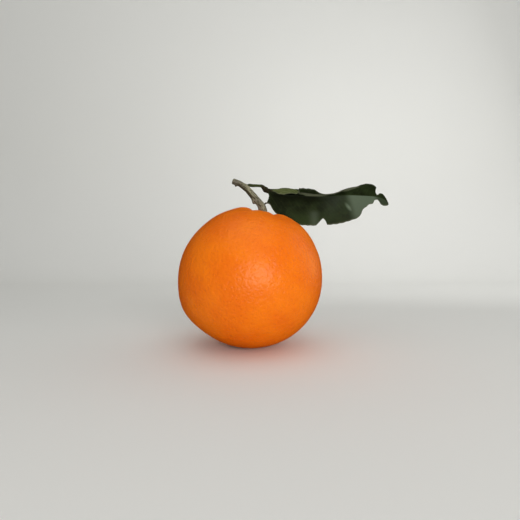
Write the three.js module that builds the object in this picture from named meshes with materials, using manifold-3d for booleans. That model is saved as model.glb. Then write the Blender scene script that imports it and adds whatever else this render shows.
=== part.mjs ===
// An orange as picked: the fruit, its button, a cut end of twig and one leaf.
// Millimetres, +Z up. The origin is the middle of the flat spot that the fruit rests on.

import * as THREE from 'three';
import { mergeVertices } from 'three/addons/utils/BufferGeometryUtils.js';
import Module from 'manifold-3d';

const wasm = await Module();
wasm.setup();

const DEGREE = Math.PI / 180;

// ---------------------------------------------------------------- driving dimensions

// Fruit: a slightly flattened ball, its core line leaning right (+X) and back (+Y).
const FRUIT_RADIUS = 50.4;
const FRUIT_POLE_RADIUS = 48.3;
const FRUIT_CENTRE_HEIGHT = 47.8;
const LEAN_RIGHT = 12 * DEGREE;
const LEAN_BACK = 6.5 * DEGREE;
const FRUIT_SECTORS = 64;
const FRUIT_RINGS = 34;
// Rings round the stem stand at this share of an even spacing, widening towards the blossom end.
const FRUIT_RING_SHARE = 0.62;
const FRUIT_RING_WIDENING = 0.8;
// Long waves round the fruit's waist, by waves per turn: height and phase.
const FRUIT_WAVES = [
  { count: 2, height: 0.2, phase: -2.4 },
  { count: 3, height: 0.2, phase: 1.1 },
];

// Stem cavity: a cup with a raised, furrowed shoulder.
const CUP_DEPTH = 4.6;
const CUP_SPREAD = 10.5 * DEGREE;
const SHOULDER_RISE = 0.9;
const SHOULDER_SADDLE = 0.75;
const SHOULDER_POLAR = 19 * DEGREE;
const SHOULDER_SPREAD = 8 * DEGREE;
const FURROW_POLAR = 15 * DEGREE;
const FURROW_SPREAD = 8.5 * DEGREE;
// Each furrow: its turn round the core line (0 is right, 90 is back), depth and half width.
const FURROWS = [
  { turn: -128 * DEGREE, depth: 2.3, spread: 13 * DEGREE },
  { turn: -60 * DEGREE, depth: 2.0, spread: 10 * DEGREE },
  { turn: -14 * DEGREE, depth: 1.3, spread: 11 * DEGREE },
  { turn: 38 * DEGREE, depth: 1.7, spread: 13 * DEGREE },
  { turn: 92 * DEGREE, depth: 1.4, spread: 11 * DEGREE },
  { turn: 139 * DEGREE, depth: 1.9, spread: 12 * DEGREE },
  { turn: 183 * DEGREE, depth: 1.2, spread: 10 * DEGREE },
];

// Bulges: the shoulders, the right flank and the lower left stand fuller than the rest.
const BULGE_SPREAD = 17 * DEGREE;
const BULGES = [
  { rise: 2.5, polar: 34 * DEGREE, turn: -14 * DEGREE, turnSpread: 34 * DEGREE },
  { rise: 0.9, polar: 58 * DEGREE, turn: -5 * DEGREE, turnSpread: 45 * DEGREE },
  { rise: 1.4, polar: 32 * DEGREE, turn: -172 * DEGREE, turnSpread: 42 * DEGREE },
  { rise: 1.8, polar: 127 * DEGREE, turn: -172 * DEGREE, turnSpread: 42 * DEGREE },
];

// Blossom end: a shallow pit with the style's scar.
const SCAR_DEPTH = 0.9;
const SCAR_SPREAD = 4.5 * DEGREE;

// A box that cuts the flat spot.
const CUT_WIDTH = 60;
const CUT_DEPTH = 20;

// Button: the five-lobed green disc between fruit and twig. Its lifts are above the skin.
const BUTTON_RADIUS = 4.6;
const BUTTON_LOBE = 0.9;
const BUTTON_LOBES = 5;
const BUTTON_LOBE_FULLNESS = 0.7;
const BUTTON_SEAT_LIFT = 0.47;
const BUTTON_EDGE_LIFT = 0.62;
const BUTTON_RIM = 0.7;
const BUTTON_RIM_SHARPNESS = 6;
const BUTTON_CROWN = 1.17;
const BUTTON_CROWN_RADIUS = 2.6;
const BUTTON_SECTORS = 40;
const BUTTON_RINGS = 6;

// Twig: a bent cut end, thicker where it meets the button.
const TWIG_RADIUS = 2.05;
const TWIG_FOOT_FLARE = 0.78;
const TWIG_FOOT_FLARE_LENGTH = 15;
const TWIG_RIDGES = 5;
const TWIG_RIDGE_RISE = 0.1;
const TWIG_RIDGE_FADE = 0.6;
const TWIG_RIDGE_TURN = 0.8;
const TWIG_SECTORS = 14;
const TWIG_RINGS = 38;
// Offsets from the middle of the fruit's cup to the points the twig passes, foot to cut end.
const TWIG_COURSE = [
  [0.5, 0.3, 3.0],
  [-0.1, 0.7, 5.8],
  [-1.4, 1.2, 9.7],
  [-4.0, 2.1, 13.2],
  [-7.1, 3.3, 17.1],
  [-10.4, 4.4, 20.9],
  [-13.9, 5.5, 23.8],
  [-16.8, 6.1, 25.7],
  [-21.5, 7.0, 27.5],
];
// Swellings on the twig: how far up it (0 to 1), the turn round it, the height, how far they
// run out below and above, and the spread round the twig.
const KNOB = {
  at: 0.325, turn: 180 * DEGREE, rise: 1.4, below: 0.02, above: 0.07, spread: 42 * DEGREE,
};
const BUD = {
  at: 0.9, turn: 195 * DEGREE, rise: 1.4, below: 0.022, above: 0.03, spread: 26 * DEGREE,
};
const LEAF_CUSHION = {
  at: 0.68, turn: 10 * DEGREE, rise: 0.55, below: 0.05, above: 0.07, spread: 50 * DEGREE,
};
const OUTER_BOW = {
  at: 0.5, turn: 200 * DEGREE, rise: 0.4, below: 0.12, above: 0.25, spread: 50 * DEGREE,
};
// A dried shoot that leaves the foot of the twig and turns right.
const SPINE_COURSE = [
  [2.6, 0.4, 5.2],
  [1.9, 0.6, 8.0],
  [1.4, 0.8, 9.9],
  [1.9, 0.8, 10.9],
  [3.8, 0.9, 11.3],
];
const SPINE_RADIUS = 0.8;
const SPINE_TIP_RADIUS = 0.5;
const SPINE_SECTORS = 7;
const SPINE_RINGS = 10;

// Leaf: a stalk, then a blade whose rib bends through these points, foot to tip.
const STALK_RADIUS = 1.05;
const STALK_SWELL = { at: 0.8, rise: 0.95, length: 0.14 };
const STALK_SECTORS = 8;
const STALK_RINGS = 12;
const BLADE_THICKNESS = 0.8;
const RIB_RISE = 0.9;
const RIB_SPREAD = 1.1;
const RIB_FADE = 0.8;
const STALK_COURSE = [
  [-9.2, 5.9, 24.5],
  [-7.5, 7.0, 24.4],
  [-3.5, 9.0, 24.6],
  [-0.3, 10.3, 24.4],
  [2.1, 11.2, 22.4],
  [4.8, 12.2, 20.3],
];
const RIB_COURSE = [
  [1.6, 11.2, 23.6],
  [6.6, 12.6, 20.6],
  [17.2, 14.2, 18.8],
  [31.0, 15.2, 18.1],
  [47.8, 16.0, 17.7],
  [62.8, 16.0, 18.7],
  [75.8, 16.0, 18.3],
  [87.3, 16.0, 17.3],
  [92.0, 15.4, 15.6],
  [95.4, 14.4, 12.2],
];
const BLADE_STEPS = 97;

const FINISHES = {
  peel: { color: 0xf07619, roughness: 0.45 },
  button: { color: 0x6f6a3a, roughness: 0.8 },
  bark: { color: 0x837f6a, roughness: 0.85 },
  leaf: { color: 0x263016, roughness: 0.4 },
};

// ---------------------------------------------------------------- small tools

const { clamp, smoothstep } = THREE.MathUtils;

const bell = (value, middle, spread) => Math.exp(-(((value - middle) / spread) ** 2));

const vector = (point) => new THREE.Vector3(...point);

// The angle between two turns, -PI to PI.
function turnBetween(a, b) {
  return Math.atan2(Math.sin(a - b), Math.cos(a - b));
}

// A smooth curve of values through keys [where, value], flat past both ends.
function through(keys, where) {
  const last = keys.length - 1;
  if (where <= keys[0][0]) return keys[0][1];
  if (where >= keys[last][0]) return keys[last][1];
  let k = 0;
  while (where > keys[k + 1][0]) k += 1;
  const slope = (i) => {
    const before = keys[Math.max(i - 1, 0)];
    const after = keys[Math.min(i + 1, last)];
    return (after[1] - before[1]) / (after[0] - before[0]);
  };
  const span = keys[k + 1][0] - keys[k][0];
  const t = (where - keys[k][0]) / span;
  const rise = keys[k + 1][1] - keys[k][1];
  const start = slope(k) * span;
  const end = slope(k + 1) * span;
  return keys[k][1] + t * (start + t * (3 * rise - 2 * start - end + t * (start + end - 2 * rise)));
}

// A geometry with only merged positions, so that it is one closed body.
function closed(geometry) {
  geometry.deleteAttribute('normal');
  geometry.deleteAttribute('uv');
  return mergeVertices(geometry, 1e-4);
}

function toSolid(geometry) {
  const body = closed(geometry);
  return new wasm.Manifold(
    new wasm.Mesh({
      numProp: 3,
      vertProperties: new Float32Array(body.attributes.position.array),
      triVerts: new Uint32Array(body.index.array),
    }),
  );
}

function toGeometry(solid) {
  const { vertProperties, triVerts } = solid.getMesh();
  const geometry = new THREE.BufferGeometry();
  geometry.setAttribute('position', new THREE.BufferAttribute(vertProperties, 3));
  geometry.setIndex(new THREE.BufferAttribute(triVerts, 1));
  return geometry;
}

// The outer skin of a fused body, so that no sealed pocket or loose scrap stays in it.
function outerBody(solid) {
  return solid.decompose().reduce((best, body) => (body.volume() > best.volume() ? body : best));
}

// Moves every corner of a geometry to where place(corner) says.
function reshape(geometry, place) {
  const position = geometry.attributes.position;
  const corner = new THREE.Vector3();
  for (let i = 0; i < position.count; i += 1) {
    corner.fromBufferAttribute(position, i);
    const { x, y, z } = place(corner);
    position.setXYZ(i, x, y, z);
  }
  return geometry;
}

// A rod bent along a curve, with capped ends. radiusAt(along, turn) gives its radius,
// with turn 0 towards +X and a quarter turn towards +Y.
function bentRod(curve, radiusAt, sectors, rings) {
  const rod = closed(new THREE.CylinderGeometry(1, 1, 1, sectors, rings));
  return reshape(rod, (corner) => {
    const along = corner.y + 0.5;
    const tangent = curve.getTangentAt(along);
    const back = new THREE.Vector3(0, 1, 0).addScaledVector(tangent, -tangent.y).normalize();
    const right = new THREE.Vector3().crossVectors(back, tangent);
    const turn = Math.atan2(-corner.z, corner.x);
    const reach = Math.hypot(corner.x, corner.z) * radiusAt(along, turn);
    return curve
      .getPointAt(along)
      .addScaledVector(right, Math.cos(turn) * reach)
      .addScaledVector(back, Math.sin(turn) * reach);
  });
}

// ---------------------------------------------------------------- fruit

const fruitPose = new THREE.Matrix4()
  .makeTranslation(0, 0, FRUIT_CENTRE_HEIGHT)
  .multiply(
    new THREE.Matrix4().makeRotationFromEuler(new THREE.Euler(-LEAN_BACK, LEAN_RIGHT, 0, 'YXZ')),
  );

// Distance from the fruit's middle to its skin. polar is 0 at the stem, PI at the blossom end.
function fruitRadius(polar, turn) {
  const ball = 1 / Math.hypot(
    Math.sin(polar) / FRUIT_RADIUS,
    Math.cos(polar) / FRUIT_POLE_RADIUS,
  );
  const cup = -CUP_DEPTH * Math.exp(-((polar / CUP_SPREAD) ** 4));
  const saddle = 1 + SHOULDER_SADDLE * Math.cos(2 * turn);
  const shoulder = SHOULDER_RISE * saddle * bell(polar, SHOULDER_POLAR, SHOULDER_SPREAD);
  const bulges = BULGES.reduce((sum, bulge) => {
    const around = bell(turnBetween(turn, bulge.turn), 0, bulge.turnSpread);
    return sum + bulge.rise * around * bell(polar, bulge.polar, BULGE_SPREAD);
  }, 0);
  const furrows = FURROWS.reduce((sum, furrow) => {
    const across = bell(turnBetween(turn, furrow.turn), 0, furrow.spread);
    return sum - furrow.depth * across * bell(polar, FURROW_POLAR, FURROW_SPREAD);
  }, 0);
  const scar = -SCAR_DEPTH * bell(polar, Math.PI, SCAR_SPREAD);
  const waves = FRUIT_WAVES.reduce((sum, wave) => {
    const height = wave.height * Math.sin(wave.count * turn + wave.phase);
    return sum + height * Math.sin(polar) ** 2;
  }, 0);
  return ball + cup + shoulder + bulges + furrows + scar + waves;
}

// The point that lies lift above the skin, in the fruit's own frame.
function onFruit(polar, turn, lift = 0) {
  const reach = fruitRadius(polar, turn) + lift;
  return new THREE.Vector3(
    reach * Math.sin(polar) * Math.cos(turn),
    reach * Math.sin(polar) * Math.sin(turn),
    reach * Math.cos(polar),
  );
}

function fruitGeometry() {
  const ball = closed(new THREE.SphereGeometry(1, FRUIT_SECTORS, FRUIT_RINGS));
  // Rings stand closer together round the stem, where the furrows are.
  reshape(ball, ({ x, y, z }) => {
    const even = Math.acos(clamp(y, -1, 1));
    const widening = (1 - FRUIT_RING_SHARE) * (even / Math.PI) ** FRUIT_RING_WIDENING;
    const polar = even * (FRUIT_RING_SHARE + widening);
    return onFruit(polar, Math.atan2(-z, x));
  });
  ball.applyMatrix4(fruitPose);
  const below = new THREE.BoxGeometry(CUT_WIDTH, CUT_WIDTH, CUT_DEPTH)
    .translate(0, 0, -CUT_DEPTH / 2);
  return toGeometry(toSolid(ball).subtract(toSolid(below)));
}

// ---------------------------------------------------------------- button

function buttonGeometry() {
  const disc = closed(new THREE.SphereGeometry(1, BUTTON_SECTORS, 2 * BUTTON_RINGS));
  // The upper half of the ball becomes the disc's top and the lower half its seat.
  reshape(disc, ({ x, y, z }) => {
    const turn = Math.atan2(-z, x);
    const lobes = Math.cos(BUTTON_LOBES * turn) * 0.5 + 0.5;
    const edge = BUTTON_RADIUS - BUTTON_LOBE * (1 - lobes ** BUTTON_LOBE_FULLNESS);
    const out = 1 - (2 / Math.PI) * Math.abs(Math.asin(clamp(y, -1, 1)));
    const polar = (out * edge) / FRUIT_POLE_RADIUS;
    if (y < -1e-6) return onFruit(polar, turn, BUTTON_SEAT_LIFT);
    const crown = BUTTON_CROWN * bell(out * edge, 0, BUTTON_CROWN_RADIUS);
    const rim = BUTTON_RIM * Math.sqrt(Math.max(0, 1 - out ** BUTTON_RIM_SHARPNESS));
    return onFruit(polar, turn, BUTTON_EDGE_LIFT + rim + crown);
  });
  return disc.applyMatrix4(fruitPose);
}

// ---------------------------------------------------------------- twig

const cupMiddle = onFruit(0, 0).applyMatrix4(fruitPose);

const courseFromCup = (course) =>
  new THREE.CatmullRomCurve3(course.map((offset) => vector(offset).add(cupMiddle)));

const twigCurve = courseFromCup(TWIG_COURSE);

function twigRadius(along, turn) {
  const length = along * twigCurve.getLength();
  const flare = TWIG_FOOT_FLARE * bell(length, 0, TWIG_FOOT_FLARE_LENGTH);
  const ridge = Math.cos(TWIG_RIDGES * turn + TWIG_RIDGE_TURN);
  const ridges = TWIG_RIDGE_RISE * ridge * (1 - TWIG_RIDGE_FADE * along);
  const swellings = [KNOB, BUD, LEAF_CUSHION, OUTER_BOW].reduce((sum, lump) => {
    const lengthwise = bell(along, lump.at, along < lump.at ? lump.below : lump.above);
    return sum + lump.rise * lengthwise * bell(turnBetween(turn, lump.turn), 0, lump.spread);
  }, 0);
  return TWIG_RADIUS + flare + ridges + swellings;
}

const spineRadius = (along) => SPINE_RADIUS + (SPINE_TIP_RADIUS - SPINE_RADIUS) * along;

function twigGeometry() {
  const rod = bentRod(twigCurve, twigRadius, TWIG_SECTORS, TWIG_RINGS);
  const spine = bentRod(courseFromCup(SPINE_COURSE), spineRadius, SPINE_SECTORS, SPINE_RINGS);
  return toGeometry(outerBody(toSolid(rod).add(toSolid(spine))));
}

// ---------------------------------------------------------------- leaf

const ribCurve = courseFromCup(RIB_COURSE);
const ribLength = ribCurve.getLength();

// Half widths of the blade, by millimetres along the rib. The near half hangs, the far half
// lies back. Both narrow to a waist before the tip.
const NEAR_WIDTH = [
  [0, 1.5], [3.4, 2.6], [4.5, 3.6], [4.75, 6.2], [5, 8.4], [6.2, 11], [8, 13.3], [10, 15.2],
  [13.5, 17.6], [21, 21.4], [34, 22.5], [51, 21.8], [60, 21.6], [68, 20.4], [71.2, 19],
  [73, 16.4], [74, 14], [75.7, 11.8], [78, 9.8], [80, 7.8], [81.7, 7], [83.3, 6.3], [84.2, 4.4],
  [85, 3.2], [87, 2.4], [88.2, 3.5], [89.2, 5.5], [90.5, 6.2], [92, 6], [94, 4.6], [96, 2.6],
  [97, 1],
];
const FAR_WIDTH = [
  [0, 1.5], [3, 2.6], [4, 3.8], [5.4, 4.9], [8, 7.3], [10.5, 10.3], [12.3, 13.4], [14, 16.7],
  [16, 19.6], [21, 21.7], [27, 21.5], [28.8, 19.8], [30.4, 20.6], [34, 22.1], [51, 21.4],
  [58.5, 20.4], [62, 19.2], [66, 16.8], [70, 14.6], [74, 13.1], [78, 12.6], [81, 12],
  [83.4, 11.4], [84.4, 10.4], [85.3, 8.8], [86, 6.6], [86.6, 3.6], [87.3, 2.2], [88.2, 2.5],
  [89.2, 3.6], [90.2, 4.4], [92, 4.8], [94, 4.2], [96, 2.6], [97, 1],
];

// How far each margin is drawn towards the tip (or, below 0, towards the foot), in millimetres.
const NEAR_LEAN = [[0, 0], [4.6, 0], [4.75, -0.5], [5, -2.4], [5.25, -1.2], [5.6, 0], [97, 0]];
const FAR_LEAN = [
  [0, 0], [80, 0], [81.5, 0.4], [83, 1], [84.5, 1.9], [85.5, 2.2], [86, 0.6], [86.6, 0], [97, 0],
];
const LEAN_CURVE = 2;

// Directions across the blade, in degrees: 0 points forward and 90 down for the near half.
const NEAR_ROOT_ANGLE = [
  [0, 100], [10, 104], [30, 104], [46, 100], [56, 92], [66, 76], [76, 68], [86, 72], [97, 60],
];
const NEAR_EDGE_ANGLE = [
  [0, 92], [10, 86], [30, 84], [46, 84], [56, 78], [66, 62], [76, 50], [86, 60], [97, 60],
];

// The far half in three stretches: a ledge, a curl and the stretch past the curl. Angles are in
// degrees, 0 pointing back and 90 up; past 180 the blade has rolled over towards the front.
const FAR_ROOT_ANGLE = [
  [0, 12], [5, 22], [9, 22], [13, 14], [16, 9], [24, 8], [26, 12], [28.2, 17], [29.4, 12],
  [31, 15.5], [36, 15], [41, 13], [46, 12], [51, 11], [55, 12.5], [58.5, 18], [62, 28], [66, 40],
  [70, 49], [74, 56], [78, 64], [85, 66], [97, 60],
];
const FAR_LEDGE_ANGLE = [
  [0, 12], [5, 22], [9, 22], [13, 14], [16, 9], [24, 8], [31, 13.5], [36, 13], [41, 12],
  [46, 10.5], [51, 9.5], [55, 9.5], [58.5, 10], [62, 12], [66, 20], [70, 29], [74, 38], [78, 50],
  [81, 58], [85, 60], [97, 60],
];
const FAR_LEDGE = [
  [0, 0.3], [5, 0.3], [8, 0.29], [12, 0.24], [16, 0.27], [20, 0.33], [24, 0.41], [27, 0.48],
  [29, 0.67], [31, 0.79], [41, 0.76], [51, 0.6], [97, 0.55],
];
const FAR_CURL = [
  [0, 0.5], [8, 0.5], [12, 0.44], [16, 0.42], [20, 0.42], [24, 0.37], [27, 0.31], [29, 0.19],
  [31, 0.14], [41, 0.16], [51, 0.3], [97, 0.35],
];
const FAR_TURN = [
  [0, 60], [4, 205], [8, 218], [14, 220], [20, 218], [24, 216], [27.6, 210], [29, 150],
  [30.2, 104], [31.5, 88], [36, 84], [39.5, 76], [42.5, 54], [46, 17], [51, 1], [55, -2],
  [58.5, -6], [62, -9], [66, -12], [70, -14], [74, -15], [78, -12], [81, -8], [85, -5], [97, 0],
];

const CURL_STEPS = 5;
const LEDGE_STEPS = 3;
const PAST_CURL_STEPS = 2;
const NEAR_STEPS = 6;

// Scalloped margin, fading out towards foot and tip, and a bite out of the near half.
const SCALLOP_PITCH = 4.3;
const SCALLOP_DEPTH = 0.24;
const SCALLOP_START = [4, 12];
const SCALLOP_END = [80, 85];
const FAR_SCALLOP_PHASE = 1.7;
const BITE = [[40.8, 0], [43, 2.4], [45, 4.3], [46.2, 5.2], [47.2, 4.4], [48.2, 2.8], [49.1, 0]];

function marginTrim(length, isNear) {
  const phase = (2 * Math.PI * length) / SCALLOP_PITCH + (isNear ? 0 : FAR_SCALLOP_PHASE);
  const fade = smoothstep(length, ...SCALLOP_START) * (1 - smoothstep(length, ...SCALLOP_END));
  const scallop = SCALLOP_DEPTH * (0.5 - 0.5 * Math.cos(phase)) * fade;
  const bite = isNear ? through(BITE, length) : 0;
  return scallop + bite;
}

// Directions across the blade: the near half hangs forward (-Y), the far half lies back (+Y).
// The blade runs to the right (+X).
const FORWARD = new THREE.Vector3(0, -1, 0);
const BACK = new THREE.Vector3(0, 1, 0);
const UP = new THREE.Vector3(0, 0, 1);
const DOWN = new THREE.Vector3(0, 0, -1);
const ALONG = new THREE.Vector3(1, 0, 0);

// Draws a point towards the tip by what the keys say, more and more towards the margin.
const lean = (point, keys, length, share) =>
  point.addScaledVector(ALONG, through(keys, length) * share ** LEAN_CURVE);

// Adds to a point the walk of reach millimetres whose heading goes evenly from one angle to
// another, with angle 0 along ahead and 90 along aside.
function walk(point, reach, fromAngle, toAngle, ahead, aside) {
  const from = fromAngle * DEGREE;
  const turn = (toAngle - fromAngle) * DEGREE;
  const straight = Math.abs(turn) < 1e-4;
  const alongAhead = straight ? Math.cos(from) : (Math.sin(from + turn) - Math.sin(from)) / turn;
  const alongAside = straight ? Math.sin(from) : (Math.cos(from) - Math.cos(from + turn)) / turn;
  return point
    .addScaledVector(ahead, reach * alongAhead)
    .addScaledVector(aside, reach * alongAside);
}

function nearPoint(length, share) {
  const point = ribCurve.getPointAt(length / ribLength);
  const width = through(NEAR_WIDTH, length);
  const reach = share * (width - marginTrim(length, true));
  const root = through(NEAR_ROOT_ANGLE, length);
  const edge = through(NEAR_EDGE_ANGLE, length);
  walk(point, reach, root, root + ((edge - root) * reach) / width, FORWARD, DOWN);
  return lean(point, NEAR_LEAN, length, reach / width);
}

// part runs 0 to 1 over the ledge, 1 to 2 over the curl and 2 to 3 past it.
function farPoint(length, part) {
  const point = ribCurve.getPointAt(length / ribLength);
  const width = through(FAR_WIDTH, length);
  const ledge = width * through(FAR_LEDGE, length);
  const curl = width * through(FAR_CURL, length);
  const past = width - ledge - curl - marginTrim(length, false);
  const root = through(FAR_ROOT_ANGLE, length);
  const edge = through(FAR_LEDGE_ANGLE, length);
  const turn = through(FAR_TURN, length);
  const onLedge = Math.min(part, 1);
  const onCurl = clamp(part - 1, 0, 1);
  const onPast = Math.max(part - 2, 0);
  walk(point, ledge * onLedge, root, root + (edge - root) * onLedge, BACK, UP);
  walk(point, curl * onCurl, edge, edge + turn * onCurl, BACK, UP);
  walk(point, past * onPast, edge + turn, edge + turn, BACK, UP);
  const share = (ledge * onLedge + curl * onCurl + past * onPast) / width;
  return lean(point, FAR_LEAN, length, share);
}

// Places across the blade, from the near margin (-1) over the rib (0) to the far margin (3).
const ACROSS = [
  ...Array.from({ length: NEAR_STEPS }, (_, i) => -(1 - i / NEAR_STEPS)),
  ...Array.from({ length: LEDGE_STEPS }, (_, i) => i / LEDGE_STEPS),
  ...Array.from({ length: CURL_STEPS }, (_, i) => 1 + i / CURL_STEPS),
  ...Array.from({ length: PAST_CURL_STEPS + 1 }, (_, i) => 2 + i / PAST_CURL_STEPS),
];

const bladePoint = (length, across) =>
  (across < 0 ? nearPoint(length, -across) : farPoint(length, across));

// A sheet of the given thickness about a grid of middle points, split alike on both faces.
function thickSheet(grid, thicknessAt) {
  const rows = grid.length;
  const columns = grid[0].length;
  const lastRow = rows - 1;
  const lastColumn = columns - 1;
  const positions = [];
  for (const side of [1, -1]) {
    for (let i = 0; i < rows; i += 1) {
      for (let j = 0; j < columns; j += 1) {
        const lengthwise = grid[Math.min(i + 1, lastRow)][j].clone();
        lengthwise.sub(grid[Math.max(i - 1, 0)][j]);
        const crosswise = grid[i][Math.min(j + 1, lastColumn)].clone();
        crosswise.sub(grid[i][Math.max(j - 1, 0)]);
        const normal = lengthwise.cross(crosswise).normalize();
        const lift = side * thicknessAt(i, j, side);
        positions.push(...grid[i][j].clone().addScaledVector(normal, lift).toArray());
      }
    }
  }
  const top = (i, j) => i * columns + j;
  const under = (i, j) => rows * columns + top(i, j);
  const index = [];
  const quad = (a, b, c, d) => index.push(a, b, c, a, c, d);
  for (let i = 0; i < lastRow; i += 1) {
    for (let j = 0; j < lastColumn; j += 1) {
      quad(top(i, j), top(i + 1, j), top(i + 1, j + 1), top(i, j + 1));
      index.push(under(i, j), under(i + 1, j + 1), under(i + 1, j));
      index.push(under(i, j), under(i, j + 1), under(i + 1, j + 1));
    }
    quad(under(i, 0), under(i + 1, 0), top(i + 1, 0), top(i, 0));
    quad(top(i, lastColumn), top(i + 1, lastColumn), under(i + 1, lastColumn), under(i, lastColumn));
  }
  for (let j = 0; j < lastColumn; j += 1) {
    quad(under(0, j + 1), under(0, j), top(0, j), top(0, j + 1));
    quad(under(lastRow, j), under(lastRow, j + 1), top(lastRow, j + 1), top(lastRow, j));
  }
  const sheet = new THREE.BufferGeometry();
  sheet.setAttribute('position', new THREE.Float32BufferAttribute(positions, 3));
  sheet.setIndex(index);
  return sheet;
}

// The stalk thickens where it joins the blade, then runs out in the rib.
const stalkRadius = (along) =>
  STALK_RADIUS + STALK_SWELL.rise * bell(along, STALK_SWELL.at, STALK_SWELL.length);

function leafGeometry() {
  const grid = Array.from({ length: BLADE_STEPS + 1 }, (_, i) =>
    ACROSS.map((across) => bladePoint((ribLength * i) / BLADE_STEPS, across)));
  const blade = thickSheet(grid, (i, j, side) => {
    const along = i / BLADE_STEPS;
    const fromRib = grid[i][j].distanceTo(grid[i][NEAR_STEPS]);
    const ribRise = RIB_RISE * (1 - RIB_FADE * along) * bell(fromRib, 0, RIB_SPREAD);
    return BLADE_THICKNESS / 2 + (side === -1 ? ribRise : 0);
  });
  const stalk = bentRod(courseFromCup(STALK_COURSE), stalkRadius, STALK_SECTORS, STALK_RINGS);
  return toGeometry(outerBody(toSolid(blade).add(toSolid(stalk))));
}

// ---------------------------------------------------------------- assembly

function piece(name, geometry, finish) {
  const mesh = new THREE.Mesh(geometry, new THREE.MeshStandardMaterial(finish));
  mesh.name = name;
  return mesh;
}

const orange = new THREE.Group();
orange.name = 'orange';
orange.add(
  piece('fruit', fruitGeometry(), FINISHES.peel),
  piece('button', buttonGeometry(), FINISHES.button),
  piece('twig', twigGeometry(), FINISHES.bark),
  piece('leaf', leafGeometry(), FINISHES.leaf),
);

export default orange;
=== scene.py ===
"""An orange as picked: the finished look of its fruit, button, twig and leaf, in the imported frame.

Shapes are worked out in millimetres and become metres when they are made a mesh.
"""

import math

import bpy
import numpy as np
from mathutils import Matrix, Vector
from mathutils.noise import fractal


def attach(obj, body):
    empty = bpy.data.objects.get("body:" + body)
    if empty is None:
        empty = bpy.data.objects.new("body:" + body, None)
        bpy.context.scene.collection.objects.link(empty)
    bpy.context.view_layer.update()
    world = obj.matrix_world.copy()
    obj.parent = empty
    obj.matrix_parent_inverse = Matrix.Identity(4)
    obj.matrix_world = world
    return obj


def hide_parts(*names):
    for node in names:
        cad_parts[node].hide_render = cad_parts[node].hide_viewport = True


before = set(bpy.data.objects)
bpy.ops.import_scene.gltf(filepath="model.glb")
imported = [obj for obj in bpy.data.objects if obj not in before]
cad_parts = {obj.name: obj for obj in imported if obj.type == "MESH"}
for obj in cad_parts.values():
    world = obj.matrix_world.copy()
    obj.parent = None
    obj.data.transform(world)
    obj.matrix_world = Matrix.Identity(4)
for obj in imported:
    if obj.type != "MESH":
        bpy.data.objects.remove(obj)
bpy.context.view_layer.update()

MM = 0.001
DEGREE = math.pi / 180
FULL_TURN = 2 * math.pi

# ------------------------------------------------------------------ driving dimensions, in mm

# Fruit: a slightly flattened ball, its core line leaning right (+X) and back (+Y).
FRUIT_RADIUS = 50.4
FRUIT_POLE_RADIUS = 48.3
FRUIT_CENTRE_HEIGHT = 47.8
LEAN_RIGHT = 12 * DEGREE
LEAN_BACK = 6.5 * DEGREE
FRUIT_WAVES = ((2, 0.2, -2.4), (3, 0.2, 1.1))

CUP_DEPTH = 4.6
CUP_SPREAD = 10.5 * DEGREE
SHOULDER_RISE = 0.9
SHOULDER_SADDLE = 0.75
SHOULDER_POLAR = 19 * DEGREE
SHOULDER_SPREAD = 8 * DEGREE
FURROW_POLAR = 15 * DEGREE
FURROW_SPREAD = 8.5 * DEGREE
# Each furrow: its turn round the core line (0 is right, 90 is back), depth and half width.
FURROWS = (
    (-128, 2.3, 13), (-60, 2.0, 10), (-14, 1.3, 11), (38, 1.7, 13), (92, 1.4, 11), (139, 1.9, 12),
    (183, 1.2, 10),
)
# Each bulge: its rise, its angle from the stem, its turn and its half width.
BULGE_SPREAD = 17 * DEGREE
BULGES = (
    (2.5, 34, -14, 34), (0.9, 58, -5, 45), (1.4, 32, -172, 42), (1.8, 127, -172, 42),
)
SCAR_DEPTH = 0.9
SCAR_SPREAD = 4.5 * DEGREE
FACE_CELLS = 127
REST_SOFTNESS = 0.12

# Peel: oil glands are pits in a pebbled skin.
PORE_PITCH = 1.75
PORE_DEPTH = 0.1
PORE_WANDER = 0.35
PORE_WANDER_SCALE = 0.6
PEBBLE_PITCH = 4.2
PEBBLE_HEIGHT = 0.22

# Button: the five-lobed disc between fruit and twig. Its lifts are above the skin.
BUTTON_RADIUS = 4.6
BUTTON_LOBE = 0.9
BUTTON_LOBES = 5
BUTTON_LOBE_FULLNESS = 0.7
BUTTON_SEAT_LIFT = 0.47
BUTTON_EDGE_LIFT = 0.62
BUTTON_RIM = 0.7
BUTTON_CROWN = 1.17
BUTTON_CROWN_RADIUS = 2.6
BUTTON_RAG = 0.08
BUTTON_STREAKS = 34
BUTTON_STREAK_DEPTH = 0.1
BUTTON_CLEFT = 0.3
BUTTON_GRIT = 0.06
BUTTON_GRIT_PITCH = 0.9
BUTTON_SECTORS = 180
BUTTON_RINGS = 30

# The loops that close a rod's end, as shares of its radius.
CAP_SHARES = (0.97, 0.9, 0.78, 0.6, 0.4, 0.2)

# Twig: a bent cut end, thicker where it meets the button.
TWIG_RADIUS = 2.05
TWIG_FOOT_FLARE = 0.78
TWIG_FOOT_FLARE_LENGTH = 15
TWIG_RIDGES = 5
TWIG_RIDGE_RISE = 0.1
TWIG_RIDGE_FADE = 0.6
TWIG_RIDGE_TURN = 0.8
TWIG_SECTORS = 84
TWIG_RINGS = 330
# Bark: long broken ridges that wind a little, growth rings, and a bevel round the cut end.
BARK_RELIEF = 0.17
BARK_SINK = 0.03
BARK_TWIST = 0.035
BARK_GRAIN_RADIUS = 1.9
BARK_GRAIN_STRETCH = 0.21
BARK_GRAIN_PITCH = 0.55
RING_RISE = 0.05
RING_TURN = 0.9
RING_SPREAD = 0.05
END_BEVEL = 0.22
END_DOME = 0.16
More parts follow.
